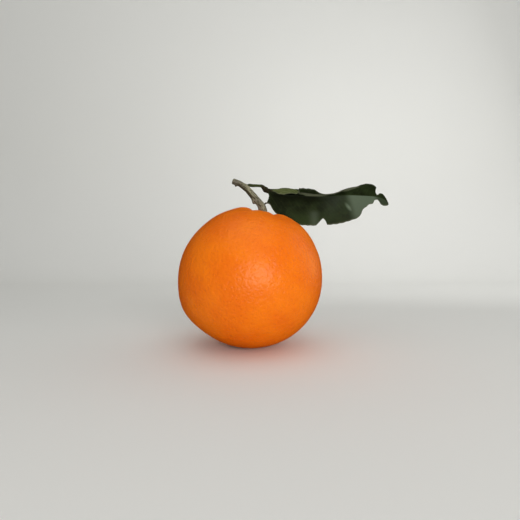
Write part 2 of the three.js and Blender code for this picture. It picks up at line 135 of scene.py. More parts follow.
# Painted shade in a dark stripe up the outer side of the bend, away from the light: turns in
# degrees and shares of the twig.
STRIPE_TURN = 212
STRIPE_HALF_WIDTH = (30, 56)
STRIPE_START = (0.35, 0.45)
STRIPE_FADE = (0.8, 0.95)
STRIPE_LOSS = 0.45
# Lenticels: small cork warts, wider round the twig than they are tall.
LENTICEL_SPACING = 1.35
LENTICEL_RADIUS = 0.13
LENTICEL_SIZES = (0.55, 1.3)
LENTICEL_WIDTH = 1.7
LENTICEL_HEIGHT = 0.42
LENTICEL_DENSITY = 9e5
LENTICEL_SEED = 7
# Offsets from the middle of the fruit's cup to the points the twig passes, foot to cut end.
TWIG_COURSE = (
    (0.5, 0.3, 3.0), (-0.1, 0.7, 5.8), (-1.4, 1.2, 9.7), (-4.0, 2.1, 13.2), (-7.1, 3.3, 17.1),
    (-10.4, 4.4, 20.9), (-13.9, 5.5, 23.8), (-16.8, 6.1, 25.7), (-21.5, 7.0, 27.5),
)
# Swellings on the twig: how far up it (0 to 1), the turn round it, height, length below and
# above its middle, and spread.
KNOB = (0.325, 180, 1.4, 0.02, 0.07, 42)
BUD = (0.9, 195, 1.4, 0.022, 0.03, 26)
LEAF_CUSHION = (0.68, 10, 0.55, 0.05, 0.07, 50)
OUTER_BOW = (0.5, 200, 0.4, 0.12, 0.25, 50)
# A thin shoot runs up the twig's side and ends in a small spine.
SPINE_COURSE = (
    (2.6, 0.4, 5.2), (1.9, 0.6, 8.0), (1.4, 0.8, 9.9), (1.9, 0.8, 10.9), (3.8, 0.9, 11.3),
)
SPINE_RADIUS = 0.8
SPINE_TIP_RADIUS = 0.5
SPINE_TAPER = 0.8
SPINE_RIPPLE = 0.05
SPINE_SECTORS = 28
SPINE_RINGS = 40

# Leaf: a stalk, then a blade whose rib bends through these points, foot to tip.
STALK_RADIUS = 1.05
# The joint where the blade begins: how far along the stalk it is, its rise and its spread, then
# the rise and the spread of the knobs on it.
STALK_SWELL = (0.8, 0.95, 0.14)
STALK_KNOBS = (0.16, 0.22)
STALK_RIPPLE = 0.05
STALK_SECTORS = 40
STALK_RINGS = 130
# The stalk's root lies inside the twig, and its course begins at the bark.
STALK_ROOT = (-10.6, 4.7, 24.0)
STALK_COURSE = (
    (-9.2, 5.9, 24.5), (-7.5, 7.0, 24.4), (-3.5, 9.0, 24.6), (-0.3, 10.3, 24.4), (2.1, 11.2, 22.4),
    (4.8, 12.2, 20.3),
)
RIB_COURSE = (
    (1.6, 11.2, 23.6), (6.6, 12.6, 20.6), (17.2, 14.2, 18.8), (31.0, 15.2, 18.1),
    (47.8, 16.0, 17.7), (62.8, 16.0, 18.7), (75.8, 16.0, 18.3), (87.3, 16.0, 17.3),
    (92.0, 15.4, 15.6), (95.4, 14.4, 12.2),
)
BLADE_THICKNESS = 0.46
RIB_RISE = 1.05
RIB_SPREAD = 0.85
RIB_FADE = 0.8
RIB_GROOVE = 0.16
RIB_GROOVE_SPREAD = 0.7
# The blade thins to this share over this width along its margin, and puckers all over.
BLADE_RIM_SHARE = 0.45
BLADE_RIM = 1.4
QUILT_RISE = 0.07
QUILT_PITCH = 3.6
BLADE_STEPS = 250
NEAR_STEPS = 48
LEDGE_STEPS = 16
CURL_STEPS = 26
PAST_CURL_STEPS = 14

# Half widths of the blade, by millimetres along the rib. The near half hangs, the far half
# lies back. Both narrow to a waist before the tip.
NEAR_WIDTH = (
    (0, 1.5), (3.4, 2.6), (4.5, 3.6), (4.75, 6.2), (5, 8.4), (6.2, 11), (8, 13.3), (10, 15.2),
    (13.5, 17.6), (21, 21.4), (34, 22.5), (51, 21.8), (60, 21.6), (68, 20.4), (71.2, 19),
    (73, 16.4), (74, 14), (75.7, 11.8), (78, 9.8), (80, 7.8), (81.7, 7), (83.3, 6.3),
    (84.2, 4.4), (85, 3.2), (87, 2.4), (88.2, 3.5), (89.2, 5.5), (90.5, 6.2), (92, 6), (94, 4.6),
    (96, 2.6), (97, 1),
)
FAR_WIDTH = (
    (0, 1.5), (3, 2.6), (4, 3.8), (5.4, 4.9), (8, 7.3), (10.5, 10.3), (12.3, 13.4), (14, 16.7),
    (16, 19.6), (21, 21.7), (27, 21.5), (28.8, 19.8), (30.4, 20.6), (34, 22.1), (51, 21.4),
    (58.5, 20.4), (62, 19.2), (66, 16.8), (70, 14.6), (74, 13.1), (78, 12.6), (81, 12),
    (83.4, 11.4), (84.4, 10.4), (85.3, 8.8), (86, 6.6), (86.6, 3.6), (87.3, 2.2), (88.2, 2.5),
    (89.2, 3.6), (90.2, 4.4), (92, 4.8), (94, 4.2), (96, 2.6), (97, 1),
)
# How far each half's margin leans along the blade, the foot being behind and the tip ahead.
NEAR_LEAN = ((0, 0), (4.6, 0), (4.75, -0.5), (5, -2.4), (5.25, -1.2), (5.6, 0), (97, 0))
FAR_LEAN = (
    (0, 0), (80, 0), (81.5, 0.4), (83, 1), (84.5, 1.9), (85.5, 2.2), (86, 0.6), (86.6, 0), (97, 0),
)
LEAN_CURVE = 2
# Directions across the blade, in degrees: 0 points forward and 90 down for the near half.
NEAR_ROOT_ANGLE = (
    (0, 100), (10, 104), (30, 104), (46, 100), (56, 92), (66, 76), (76, 68), (86, 72), (97, 60),
)
NEAR_EDGE_ANGLE = (
    (0, 92), (10, 86), (30, 84), (46, 84), (56, 78), (66, 62), (76, 50), (86, 60), (97, 60),
)
# The far half in three stretches: a ledge, a curl and the stretch past the curl. Angles are in
# degrees, 0 pointing back and 90 up; past 180 the blade has rolled over towards the front.
FAR_ROOT_ANGLE = (
    (0, 12), (5, 22), (9, 22), (13, 14), (16, 9), (24, 8), (26, 12), (28.2, 17), (29.4, 12),
    (31, 15.5), (36, 15), (41, 13), (46, 12), (51, 11), (55, 12.5), (58.5, 18), (62, 28),
    (66, 40), (70, 49), (74, 56), (78, 64), (85, 66), (97, 60),
)
FAR_LEDGE_ANGLE = (
    (0, 12), (5, 22), (9, 22), (13, 14), (16, 9), (24, 8), (31, 13.5), (36, 13), (41, 12),
    (46, 10.5), (51, 9.5), (55, 9.5), (58.5, 10), (62, 12), (66, 20), (70, 29), (74, 38), (78, 50),
    (81, 58), (85, 60), (97, 60),
)
FAR_LEDGE = (
    (0, 0.3), (5, 0.3), (8, 0.29), (12, 0.24), (16, 0.27), (20, 0.33), (24, 0.41), (27, 0.48),
    (29, 0.67), (31, 0.79), (41, 0.76), (51, 0.6), (97, 0.55),
)
FAR_CURL = (
    (0, 0.5), (8, 0.5), (12, 0.44), (16, 0.42), (20, 0.42), (24, 0.37), (27, 0.31), (29, 0.19),
    (31, 0.14), (41, 0.16), (51, 0.3), (97, 0.35),
)
FAR_TURN = (
    (0, 60), (4, 205), (8, 218), (14, 220), (20, 218), (24, 216), (27.6, 210), (29, 150),
    (30.2, 104), (31.5, 88), (36, 84), (39.5, 76), (42.5, 54), (46, 17), (51, 1), (55, -2),
    (58.5, -6), (62, -9), (66, -12), (70, -14), (74, -15), (78, -12), (81, -8), (85, -5),
    (97, 0),
)
SCALLOP_PITCH = 4.3
SCALLOP_DEPTH = 0.24
SCALLOP_START = (4, 12)
SCALLOP_END = (80, 85)
FAR_SCALLOP_PHASE = 1.7
# What is bitten out of the near half's margin, by millimetres along the rib.
BITE = ((40.8, 0), (43, 2.4), (45, 4.3), (46.2, 5.2), (47.2, 4.4), (48.2, 2.8), (49.1, 0))

# Side veins leave the rib at this pitch and slope, and bend towards the tip.
VEIN_PITCH = 5.9
VEIN_SLOPE = 0.62
VEIN_BEND = 0.017
VEIN_SPREAD = 0.34
VEIN_FOOT = 4.0
VEIN_SHIFT = 2.6
VEIN_ROOT = (0.2, 1.6)
VEIN_END = (80, 88)
VEIN_SINK = 0.06
VEIN_RISE = 0.1
# The rib's place across the leaf's own flat pattern.
SPREAD_MIDDLE = 40
# Tones of the hanging half, by millimetres along the rib or away from it: a painted sheen, the
# reflection of its glossy face, in two steps (share, start, full) that loses some at its end,
# fresh green, and painted shade below the rib.
SHEEN_LEAN = 0.16
SHEEN_STEPS = ((0.12, 38, 58), (0.58, 61.5, 68.5))
SHEEN_END = (84, 88)
SHEEN_END_LOSS = 0.7
FRESH_AWAY = (8, 19)
FRESH_STRETCH = ((16, 26), (38, 54))
NEAR_SHADE_STRETCH = ((5, 9), (56, 64))
NEAR_SHADE_SPREAD = 5.5
# Tones of the far half: painted shade under its flap, then how far from the rib the strip of
# painted sheen beside it reaches.
FAR_SHADE_STRETCH = ((12, 16), (29, 33))
FAR_SHADE_SPREAD = 6
SHEEN_STRIP_START = (27, 29.5)
SHEEN_STRIP_END = (48, 56)
SHEEN_STRIP_REACH = ((27.5, 22), (28.6, 20), (29.8, 17), (31.2, 15.2), (32.6, 12.8), (54, 12.8))
# Where the painted sheen on the outer stretch of the far half begins, further on.
SHEEN_BRIM_START = (
    (44, 12.8), (48, 11), (53, 8.8), (61.5, 9), (65.5, 7.5), (69, 7.8), (73, 9.2), (79, 11),
)
SHEEN_BRIM_END = (72, 79)
# How far the edges of the painted sheen wander, and over what distance.
TONE_WANDER = 1.4
TONE_WANDER_PITCH = 4.5

# Camera: level with the upper half of the fruit, looking slightly down and to the right. Its
# focal length is a share of the sensor's width.
EYE = (0, -296.96, 74.58)
EYE_FORWARD = (0.02368, 0.99866, -0.04611)
SENSOR_WIDTH = 36
FOCAL_SHARE = 420 / 520

# Backdrop: where its floor starts and begins to bend up, the bend, its top and half its width.
FLOOR_START = -1500
SWEEP_START = 420
SWEEP_RADIUS = 260
WALL_TOP = 1500
HALF_FLOOR = 1800

# Soft lights round the object: the turn from the camera's side towards the right and the height
# over level, both in degrees, then distance, width and height in millimetres, and the power.
LIGHTS = (
    ("window", 14, 3, 900, 620, 620, 6.5),
    ("window top", 15, 35, 900, 500, 500, 0.6),
    ("sky", -10, 80, 1200, 1200, 1200, 2.9),
    ("side wall", 110, 20, 900, 600, 800, 0.8),
)
# Lamps behind the object that only light the wall: place, target and power.
WALL_LIGHTS = (
    ("wall left", (0, 200, 420), (0, 700, 330), 0.08),
    ("wall right", (260, 200, 330), (330, 700, 240), 0.5),
)
WALL_LIGHT_SIZE = (500, 200)
ROOM_GLOW = 0.345

# Colours are linear red, green and blue.
PEEL_BRIGHT = (0.94, 0.198, 0.002)
PEEL_DEEP = (0.88, 0.162, 0.0015)
PEEL_PALE = (0.96, 0.24, 0.005)
PEEL_PIT = (0.82, 0.13, 0.001)
PEEL_STEM_END = (0.72, 0.26, 0.03)
SCAR_BROWN = (0.12, 0.06, 0.025)
BUTTON_GREEN = (0.105, 0.12, 0.035)
BUTTON_OLIVE = (0.17, 0.155, 0.06)
BUTTON_BROWN = (0.13, 0.085, 0.04)
BUTTON_DARK = (0.05, 0.042, 0.018)
BARK_GREY = (0.21, 0.186, 0.148)
BARK_GREEN = (0.172, 0.168, 0.1)
BARK_BROWN = (0.165, 0.12, 0.075)
BARK_DARK = (0.04, 0.033, 0.017)
BARK_PALE = (0.315, 0.3, 0.19)
WOOD_CUT = (0.3, 0.25, 0.17)
WOOD_GREY = (0.19, 0.17, 0.14)
WOOD_PITH = (0.1, 0.075, 0.05)
LEAF_DARK = (0.008, 0.0115, 0.0028)
LEAF_GREEN = (0.0172, 0.0262, 0.0075)
LEAF_VEIN = (0.032, 0.044, 0.015)
# The glossy hanging half's painted sheen.
LEAF_SHEEN = (0.12, 0.158, 0.101)
LEAF_FRESH = (0.024, 0.039, 0.0095)
LEAF_SHADE = (0.004, 0.006, 0.0012)
# Pale margin tone; also painted sheen on the far half and painted highlight on the stalk's top.
LEAF_MARGIN_AND_SHEEN = (0.128, 0.137, 0.082)
UNDER_OLIVE = (0.062, 0.076, 0.023)
UNDER_GREEN = (0.086, 0.101, 0.036)
UNDER_VEIN = (0.16, 0.175, 0.08)
DRY_BROWN = (0.034, 0.028, 0.015)
DRY_DARK = (0.011, 0.0095, 0.005)
BACKDROP_TONE = (0.82, 0.82, 0.79)


# ------------------------------------------------------------------ small tools for shapes


def bell(value, middle, spread):
    return np.exp(-(((value - middle) / spread) ** 2))


def smoothstep(value, low, high):
    share = np.clip((value - low) / (high - low), 0, 1)
    return share * share * (3 - 2 * share)


def stretch(value, start, end):
    """1 along a stretch that fades in over start and out over end, 0 outside it."""
    return smoothstep(value, *start) * (1 - smoothstep(value, *end))


def turn_between(first, second):
    """The angle between two turns, -pi to pi."""
    return np.arctan2(np.sin(first - second), np.cos(first - second))


def around(turn, side, spread):
    """1 at a side, falling away to both sides of it. side and spread are in degrees."""
    return bell(turn_between(turn, side * DEGREE), 0, spread * DEGREE)


def through(keys, where):
    """A smooth curve of values through keys (where, value), flat past both ends."""
    spot, value = np.array(keys, float).T
    order = np.arange(len(spot))
    before, after = np.maximum(order - 1, 0), np.minimum(order + 1, len(spot) - 1)
    slope = (value[after] - value[before]) / (spot[after] - spot[before])
    where = np.clip(where, spot[0], spot[-1])
    k = np.clip(np.searchsorted(spot, where, side="left") - 1, 0, len(spot) - 2)
    span = spot[k + 1] - spot[k]
    t = (where - spot[k]) / span
    rise = value[k + 1] - value[k]
    start, end = slope[k] * span, slope[k + 1] * span
    return value[k] + t * (start + t * (3 * rise - 2 * start - end + t * (start + end - 2 * rise)))


def unit(vectors):
    return vectors / np.linalg.norm(vectors, axis=-1, keepdims=True)


def roughen(points, pitch, octaves=3):
    """Noise from -1 to 1 at each point, with features about pitch wide."""
    flat = np.asarray(points).reshape(-1, 3) / pitch
    values = [fractal(Vector(point), 1.0, 2.0, octaves) for point in flat]
    return np.clip(np.array(values).reshape(np.shape(points)[:-1]), -1, 1)


class Course:
    """A smooth curve through points, read by the share of its length, 0 at the foot."""

    STEPS = 60

    def __init__(self, points):
        points = np.array(points, float)
        ends = np.vstack([2 * points[0] - points[1], points, 2 * points[-1] - points[-2]])
        parts = [self._part(*ends[k : k + 4]) for k in range(len(points) - 1)]
        self.line = np.vstack(parts + [points[-1:]])
        steps = np.linalg.norm(np.diff(self.line, axis=0), axis=1)
        self.reach = np.concatenate([[0], np.cumsum(steps)])
        self.length = self.reach[-1]

    def _part(self, before, start, end, after):
        first, middle, last = (
            math.sqrt(math.dist(a, b)) for a, b in ((before, start), (start, end), (end, after))
        )
        leave = (start - before) / first - (end - before) / (first + middle)
        leave = middle * (leave + (end - start) / middle)
        arrive = (end - start) / middle - (after - start) / (middle + last)
        arrive = middle * (arrive + (after - end) / last)
        t = np.linspace(0, 1, self.STEPS, endpoint=False)[:, None]
        return (
            (2 * t**3 - 3 * t**2 + 1) * start
            + (t**3 - 2 * t**2 + t) * leave
            + (3 * t**2 - 2 * t**3) * end
            + (t**3 - t**2) * arrive
        )

    def at(self, share):
        place = np.clip(share, 0, 1) * self.length
        return np.stack([np.interp(place, self.reach, axis) for axis in self.line.T], axis=-1)

    def heading(self, share):
        step = 0.01
        return unit(self.at(np.minimum(share + step, 1)) - self.at(np.maximum(share - step, 0)))


def add_object(name, data):
    added = bpy.data.objects.new(name, data)
    bpy.context.scene.collection.objects.link(added)
    return added


def aim(thing, place, forward):
    """Puts a lamp or a camera at a place in millimetres, looking the way that forward points."""
    thing.location = Vector(place) * MM
    thing.rotation_euler = forward.to_track_quat("-Z", "Y").to_euler()


def make_piece(name, points, faces, material=None, sharp=None):
    """A mesh piece from points in millimetres. sharp is the angle past which an edge is sharp."""
    mesh = bpy.data.meshes.new(name)
    mesh.from_pydata((np.asarray(points) * MM).tolist(), [], [tuple(face) for face in faces])
    mesh.validate()
    mesh.shade_smooth()
    if sharp:
        mesh.set_sharp_from_angle(angle=sharp * DEGREE)
    if material:
        mesh.materials.append(material)
    return add_object(name, mesh)


def add_values(piece, **values):
    """Stores a number for each point of a piece, or one for all, for its material to read."""
    for name, numbers in values.items():
        row = np.empty(len(piece.data.vertices), np.float32)
        row[:] = np.ravel(numbers)
        piece.data.attributes.new(name, "FLOAT", "POINT").data.foreach_set("value", row)


def closed_faces(loops, sectors, flipped=False):
    """Faces round a stack of loops of points, closed by a fan to the first and the last point."""
    faces = []
    for ring in range(loops - 1):
        low, high = 1 + ring * sectors, 1 + (ring + 1) * sectors
        for k in range(sectors):
            n = (k + 1) % sectors
            faces.append((low + k, low + n, high + n, high + k))
    last, top = 1 + loops * sectors, 1 + (loops - 1) * sectors
    for k in range(sectors):
        n = (k + 1) % sectors
        faces += [(0, 1 + n, 1 + k), (last, top + k, top + n)]
    return [(face[0], *face[:0:-1]) for face in faces] if flipped else faces


def read_points(piece, what="co"):
    """A piece's points in metres, or with what="normal" its normals, one row each."""
    rows = np.empty(len(piece.data.vertices) * 3, np.float32)
    piece.data.vertices.foreach_get(what, rows)
    return rows.reshape(-1, 3)


def rod(course, radius_at, sectors, rings, name, material, dome=0.0):
    """A rod bent along a course with closed ends. radius_at(along, turn) gives its radius, with
    turn 0 towards +X and a quarter turn towards +Y, and dome how far its ends bulge."""
    share = np.linspace(0, 1, rings)[:, None]
    turn = np.linspace(0, FULL_TURN, sectors, endpoint=False)[None, :]
    forward = course.heading(share[:, 0])
    back = unit(np.array([0, 1.0, 0]) - forward * forward[:, 1:2])
    right = np.cross(back, forward)
    radius = radius_at(share, turn)
    centre = course.at(share[:, 0])
    wall = (
        centre[:, None]
        + right[:, None] * (np.cos(turn) * radius)[..., None]
        + back[:, None] * (np.sin(turn) * radius)[..., None]
    )
    caps = [
        centre[end] + (wall[end] - centre[end]) * inward
        + forward[end] * sign * dome * math.sqrt(1 - inward**2)
        for end, sign in ((0, -1), (-1, 1))
        for inward in CAP_SHARES
    ]
    loops = caps[: len(CAP_SHARES)][::-1] + list(wall) + caps[len(CAP_SHARES) :]
    foot = centre[0] - forward[0] * dome
    head = centre[-1] + forward[-1] * dome
    points = np.vstack([foot, *loops, head])
    return make_piece(name, points, closed_faces(len(loops), sectors), material, sharp=60)


# ------------------------------------------------------------------ node trees as expressions


class Wire:
    """An output in a node tree. Python's operators on it add the Math nodes they mean."""

    def __init__(self, tree, socket):
        self.tree = tree
        self.socket = socket

    def maths(self, operation, *values):
        return self.tree.add("ShaderNodeMath", {"operation": operation}, enumerate(values))

    def other(self, name):
        """Another output of the same node."""
        return Wire(self.tree, self.socket.node.outputs[name])

    def __add__(self, value):
        return self.maths("ADD", self, value)

    def __sub__(self, value):
        return self.maths("SUBTRACT", self, value)

    def __rsub__(self, value):
        return self.maths("SUBTRACT", value, self)

    def __mul__(self, value):
        return self.maths("MULTIPLY", self, value)

    __radd__ = __add__
    __rmul__ = __mul__


class Tree:
    """A node tree that is written as calls and expressions."""

    def __init__(self, tree):
        self.tree = tree

    def add(self, kind, settings=(), values=(), output=0):
        """Adds a node: its settings come first, then the values or links of its sockets."""
        node = self.tree.nodes.new(kind)
        for name, setting in dict(settings).items():
            setattr(node, name, setting)
        for name, value in dict(values).items():
            if isinstance(value, Wire):
                self.tree.links.new(value.socket, node.inputs[name])
            else:
                node.inputs[name].default_value = value
        return Wire(self, node.outputs[output]) if node.outputs else node

    def between(self, value, low, high):
        """0 below low, 1 above high and a smooth rise from one to the other."""
        settings = {"interpolation_type": "SMOOTHSTEP"}
        return self.add("ShaderNodeMapRange", settings, {0: value, 1: low, 2: high})

    def blend(self, factor, first, second):
        """A colour between two colours."""
        colours = [c if isinstance(c, Wire) else (*c, 1) for c in (first, second)]
        settings = {"data_type": "RGBA", "clamp_factor": True}
        return self.add("ShaderNodeMix", settings, {0: factor, 6: colours[0], 7: colours[1]}, 2)

    def coats(self, colour, *coats):
        """A colour with coats over it, each a factor and a colour."""
        for factor, coat in coats:
            colour = self.blend(factor, colour, coat)
        return colour

    def stored(self, *names):
        """The numbers that add_values stored, one output for each name."""
        kind = "ShaderNodeAttribute"
        return [self.add(kind, {"attribute_name": name}, output="Fac") for name in names]

    def vector_maths(self, operation, vector, other):
        """SCALE by a number, or MULTIPLY by a vector or ADD it, axis by axis."""
        values = {0: vector, "Scale" if operation == "SCALE" else 1: other}
        return self.add("ShaderNodeVectorMath", {"operation": operation}, values)

    def grain(self, place, pitch, detail=2.0, roughness=0.5):
        """Soft noise from 0 to 1, with features about pitch millimetres wide."""
        values = {
            "Vector": place,
            "Scale": 1 / (pitch * MM),
            "Detail": detail,
            "Roughness": roughness,
        }
        return self.add("ShaderNodeTexNoise", {}, values)

    def cells(self, place, pitch, feature="F1", dimensions="3D", output="Distance"):
        """Distance from the middle or the edge of scattered cells, about pitch apart."""
        settings = {"voronoi_dimensions": dimensions, "feature": feature}
        values = {"Vector": place, "Scale": 1 / (pitch * MM)}
        return self.add("ShaderNodeTexVoronoi", settings, values, output)


def pores(tree, place):
    """1 in the middle of each oil gland's pit, 0 between them."""
    values = {"Vector": place, "Scale": PORE_WANDER_SCALE / (PORE_PITCH * MM)}
    warp = tree.add("ShaderNodeTexNoise", {}, values, 1)
    shift = tree.vector_maths("SCALE", warp, PORE_WANDER * PORE_PITCH * MM)
    bent = tree.vector_maths("ADD", place, shift)
    return 1 - tree.between(tree.cells(bent, PORE_PITCH), 0.1, 0.5)


def pebbles(tree, place):
    """The skin's low, uneven rise and fall between groups of glands."""
    return tree.grain(place, PEBBLE_PITCH, 1.0, 0.4)


def new_geometry_tree(name, sockets, result):
    """An empty geometry tree with named inputs, the first of them its geometry."""
    group = bpy.data.node_groups.new(name, "GeometryNodeTree")
    for socket, kind in sockets:
        group.interface.new_socket(socket, in_out="INPUT", socket_type="NodeSocket" + kind)
    group.interface.new_socket(result, in_out="OUTPUT", socket_type="NodeSocketGeometry")
    tree = Tree(group)
    return group, tree, tree.add("NodeGroupInput", output=sockets[0][0])


def finish_geometry_tree(tree, geometry, material, smooth=False):
    """Ends a geometry tree: instances become real and take their material."""
    geometry = tree.add("GeometryNodeRealizeInstances", {}, {"Geometry": geometry})
    values = {"Geometry": geometry, "Material": material}
    geometry = tree.add("GeometryNodeSetMaterial", {}, values)
    if smooth:
        geometry = tree.add("GeometryNodeSetShadeSmooth", {}, {"Geometry": geometry})
    tree.add("NodeGroupOutput", {}, {0: geometry})


def apply_tree(piece, group, **values):
    """Runs a geometry tree on a piece and keeps the result as its plain mesh."""
    modifier = piece.modifiers.new(group.name, "NODES")
    modifier.node_group = group
    sockets = {s.name: s.identifier for s in group.interface.items_tree if s.in_out == "INPUT"}
    for name, value in values.items():
        modifier[sockets[name.replace("_", " ")]] = value
    evaluated = piece.evaluated_get(bpy.context.evaluated_depsgraph_get())
    mesh = bpy.data.meshes.new_from_object(evaluated)
    piece.modifiers.remove(modifier)
    piece.data = mesh
    mesh.name = piece.name
    return piece


# ------------------------------------------------------------------ materials


def new_material(name):
    """A material, its empty tree and the place on the piece where it is read."""
    material = bpy.data.materials.new(name)
    material.use_nodes = True
    material.node_tree.nodes.clear()
    tree = Tree(material.node_tree)
    return material, tree, tree.add("ShaderNodeTexCoord", output="Object")


def finish_material(tree, bump=None, bump_height=0.1, **shader_values):
    """Ends a material's tree in its shader. bump counts in heights of bump_height millimetres."""
    values = {name.replace("_", " "): value for name, value in shader_values.items()}
    if bump is not None:
        relief = {"Height": bump, "Distance": bump_height * MM}
        values["Normal"] = tree.add("ShaderNodeBump", {}, relief)
    shader = tree.add("ShaderNodeBsdfPrincipled", {}, values)
    tree.add("ShaderNodeOutputMaterial", {}, {"Surface": shader})


def peel_material():
    material, tree, place = new_material("orange peel")
    polar, furrow = tree.stored("polar", "furrow")
    pit = pores(tree, place)
    blotch = tree.between(tree.grain(place, 19, 3), 0.35, 0.68)
    freckle = tree.between(tree.grain(place, 2.6, 2), 0.48, 0.7)
    stem_end = 1 - tree.between(polar, 4.2, 8.5)
    scar = tree.between(polar + tree.grain(place, 1.3) * 1.6, 177.0, 178.4)
    colour = tree.coats(
        tree.blend(blotch, PEEL_DEEP, PEEL_BRIGHT),
        (freckle * 0.16, PEEL_PALE),
        (pit * 0.2, PEEL_PIT),
        (furrow * 0.4, PEEL_DEEP),
        (stem_end * 0.5, PEEL_STEM_END),
        (scar * 0.8, SCAR_BROWN),
    )
    fine = tree.grain(place, 0.7, 2)
    ripple = tree.grain(place, 2.1, 1.5)
    finish_material(
        tree,
        bump=ripple * 2.0 - pit * 0.7 + fine * 0.12,
        bump_height=0.17,
        Base_Color=colour,
        Roughness=0.33 + pit * 0.12 + scar * 0.3,
        Specular_IOR_Level=0.25,
    )
    return material


def button_material():
    material, tree, place = new_material("button green-brown")
    out, streak = tree.stored("out", "streak")
    mottle = tree.between(tree.grain(place, 1.4, 4, 0.6), 0.38, 0.64)
    colour = tree.coats(
        tree.blend(mottle, BUTTON_GREEN, BUTTON_OLIVE),
        (tree.between(out, 0.62, 0.98) * 0.75, BUTTON_BROWN),
        (streak * 0.5, BUTTON_DARK),
    )
    rough = tree.grain(place, 0.35, 3, 0.6)
    roughness = 0.78 + rough * 0.15
    finish_material(tree, bump=rough, bump_height=0.16, Base_Color=colour, Roughness=roughness)
    return material


def bark_material():
    material, tree, place = new_material("twig bark")
    along, groove, cut, lichen = tree.stored("along", "groove", "cut", "lichen")
    mottle = tree.between(tree.grain(place, 1.7, 4, 0.6), 0.38, 0.62)
    drawn_up = tree.vector_maths("MULTIPLY", place, (1, 1, 0.6))
    patch = tree.between(tree.grain(drawn_up, 1.1, 3), 0.42, 0.58)
    middle = tree.between(along, 0.26, 0.48) * (1 - tree.between(along, 0.68, 0.86))
    foot = 1 - tree.between(along + mottle * 0.1, 0.1, 0.42)
    speck = 1 - tree.between(tree.cells(place, 1.1), 0.1, 0.3)
    ring = tree.between(tree.grain(place, 0.5, 2), 0.4, 0.62)
    pith = tree.between(cut, 0.72, 0.92)
    wood = tree.blend(pith * 0.7, tree.blend(ring, WOOD_CUT, WOOD_GREY), WOOD_PITH)
    colour = tree.coats(
        tree.blend(mottle, BARK_GREY, BARK_GREEN),
        (middle * (0.5 + mottle * 0.45), BARK_PALE),
        (foot * (0.12 + patch * 0.5), BARK_BROWN),
        (foot * (1 - patch) * 0.65, BARK_PALE),
        (speck * 0.35, BARK_PALE),
        # painted shade down the twig's side away from the light; the spine dark all over
        (lichen * (0.9 + mottle * 0.1), BARK_DARK),
        (groove * 0.8, BARK_DARK),
        (tree.between(cut, 0.02, 0.12), wood),
    )
    rough = tree.grain(tree.vector_maths("MULTIPLY", place, (1, 1, 0.5)), 0.4, 4, 0.65)
    finish_material(
        tree,
        bump=rough - groove * 0.4,
        bump_height=0.32,
        Base_Color=colour,
        Roughness=0.8 + rough * 0.14,
        Specular_IOR_Level=0.15,
    )
    return material


def lenticel_material():
    material, tree, place = new_material("lenticel cork")
    mottle = tree.grain(place, 0.5, 3)
    colour = tree.blend(tree.between(mottle, 0.35, 0.65), BARK_PALE, BARK_BROWN)
    finish_material(tree, bump=mottle, bump_height=0.06, Base_Color=colour, Roughness=0.9)
    return material


def leaf_material():
    material, tree, place = new_material("leaf green")
    spread = tree.add("ShaderNodeTexCoord", output="UV")
    names = ("under", "vein", "dry", "edge", "bloom", "shade", "pale", "fresh")
    under, vein, dry, edge, bloom, shade, pale, fresh = tree.stored(*names)
    side = tree.between(under, 0.35, 0.65)
    net = 1 - tree.between(tree.cells(spread, 9, "DISTANCE_TO_EDGE", "2D"), 0.0, 0.13)
    glands = 1 - tree.between(tree.cells(place, 0.62), 0.12, 0.34)
    mottle = tree.between(tree.grain(place, 8, 4, 0.55), 0.34, 0.68)
    upper = tree.coats(
        tree.blend(mottle, LEAF_DARK, LEAF_GREEN),
        (fresh * 0.75, LEAF_FRESH),
        (vein * 0.22 + net * 0.06 + glands * 0.06, LEAF_VEIN),
        # painted sheen on the hanging half
        (bloom, LEAF_SHEEN),
        (shade, LEAF_SHADE),
        # painted sheen in strips along the far half
        (pale * (0.98 - vein * 0.3 - net * 0.1 - mottle * 0.12), LEAF_MARGIN_AND_SHEEN),
    )
    below = tree.coats(
        tree.blend(mottle, UNDER_OLIVE, UNDER_GREEN),
        (vein * 0.7 + net * 0.16, UNDER_VEIN),
        # painted shade at the end of the flap's underside
        (shade * 0.9, LEAF_GREEN),
    )
    bark_tone = tree.blend(tree.between(tree.grain(place, 0.8, 3), 0.4, 0.6), DRY_DARK, DRY_BROWN)
    brown = tree.between(dry + tree.grain(place, 2.2, 3) * 0.7 - 0.35, 0.3, 0.75)
    # pale along the blade's margin, and a painted highlight along the stalk's top
    colour = tree.coats(upper, (side, below), (edge * 0.55, LEAF_MARGIN_AND_SHEEN), (brown * 0.92, bark_tone))
    fine = tree.grain(place, 0.3, 3)
    relief = fine * 0.35 + net * (side - 0.5) * 0.7 - glands * 0.2
    finish_material(
        tree,
        bump=relief,
        bump_height=0.07,
        Base_Color=colour,
        Roughness=0.42 + side * 0.3 + brown * 0.3 + fine * 0.08,
        Specular_IOR_Level=0.03,
        Coat_Weight=bloom * 0.4,
        Coat_Roughness=0.38,
    )
    return material


# ------------------------------------------------------------------ fruit

FRUIT_POSE = (
    Matrix.Translation((0, 0, FRUIT_CENTRE_HEIGHT))
    @ Matrix.Rotation(LEAN_RIGHT, 4, "Y")
    @ Matrix.Rotation(-LEAN_BACK, 4, "X")
)


def posed(points):
    """Points of the fruit's own frame, its core line upright, where the fruit stands."""
    pose = np.array(FRUIT_POSE)
    return np.asarray(points) @ pose[:3, :3].T + pose[:3, 3]


def furrow_depth(polar, turn):
    depths = sum(depth * around(turn, side, spread) for side, depth, spread in FURROWS)
    return depths * bell(polar, FURROW_POLAR, FURROW_SPREAD)


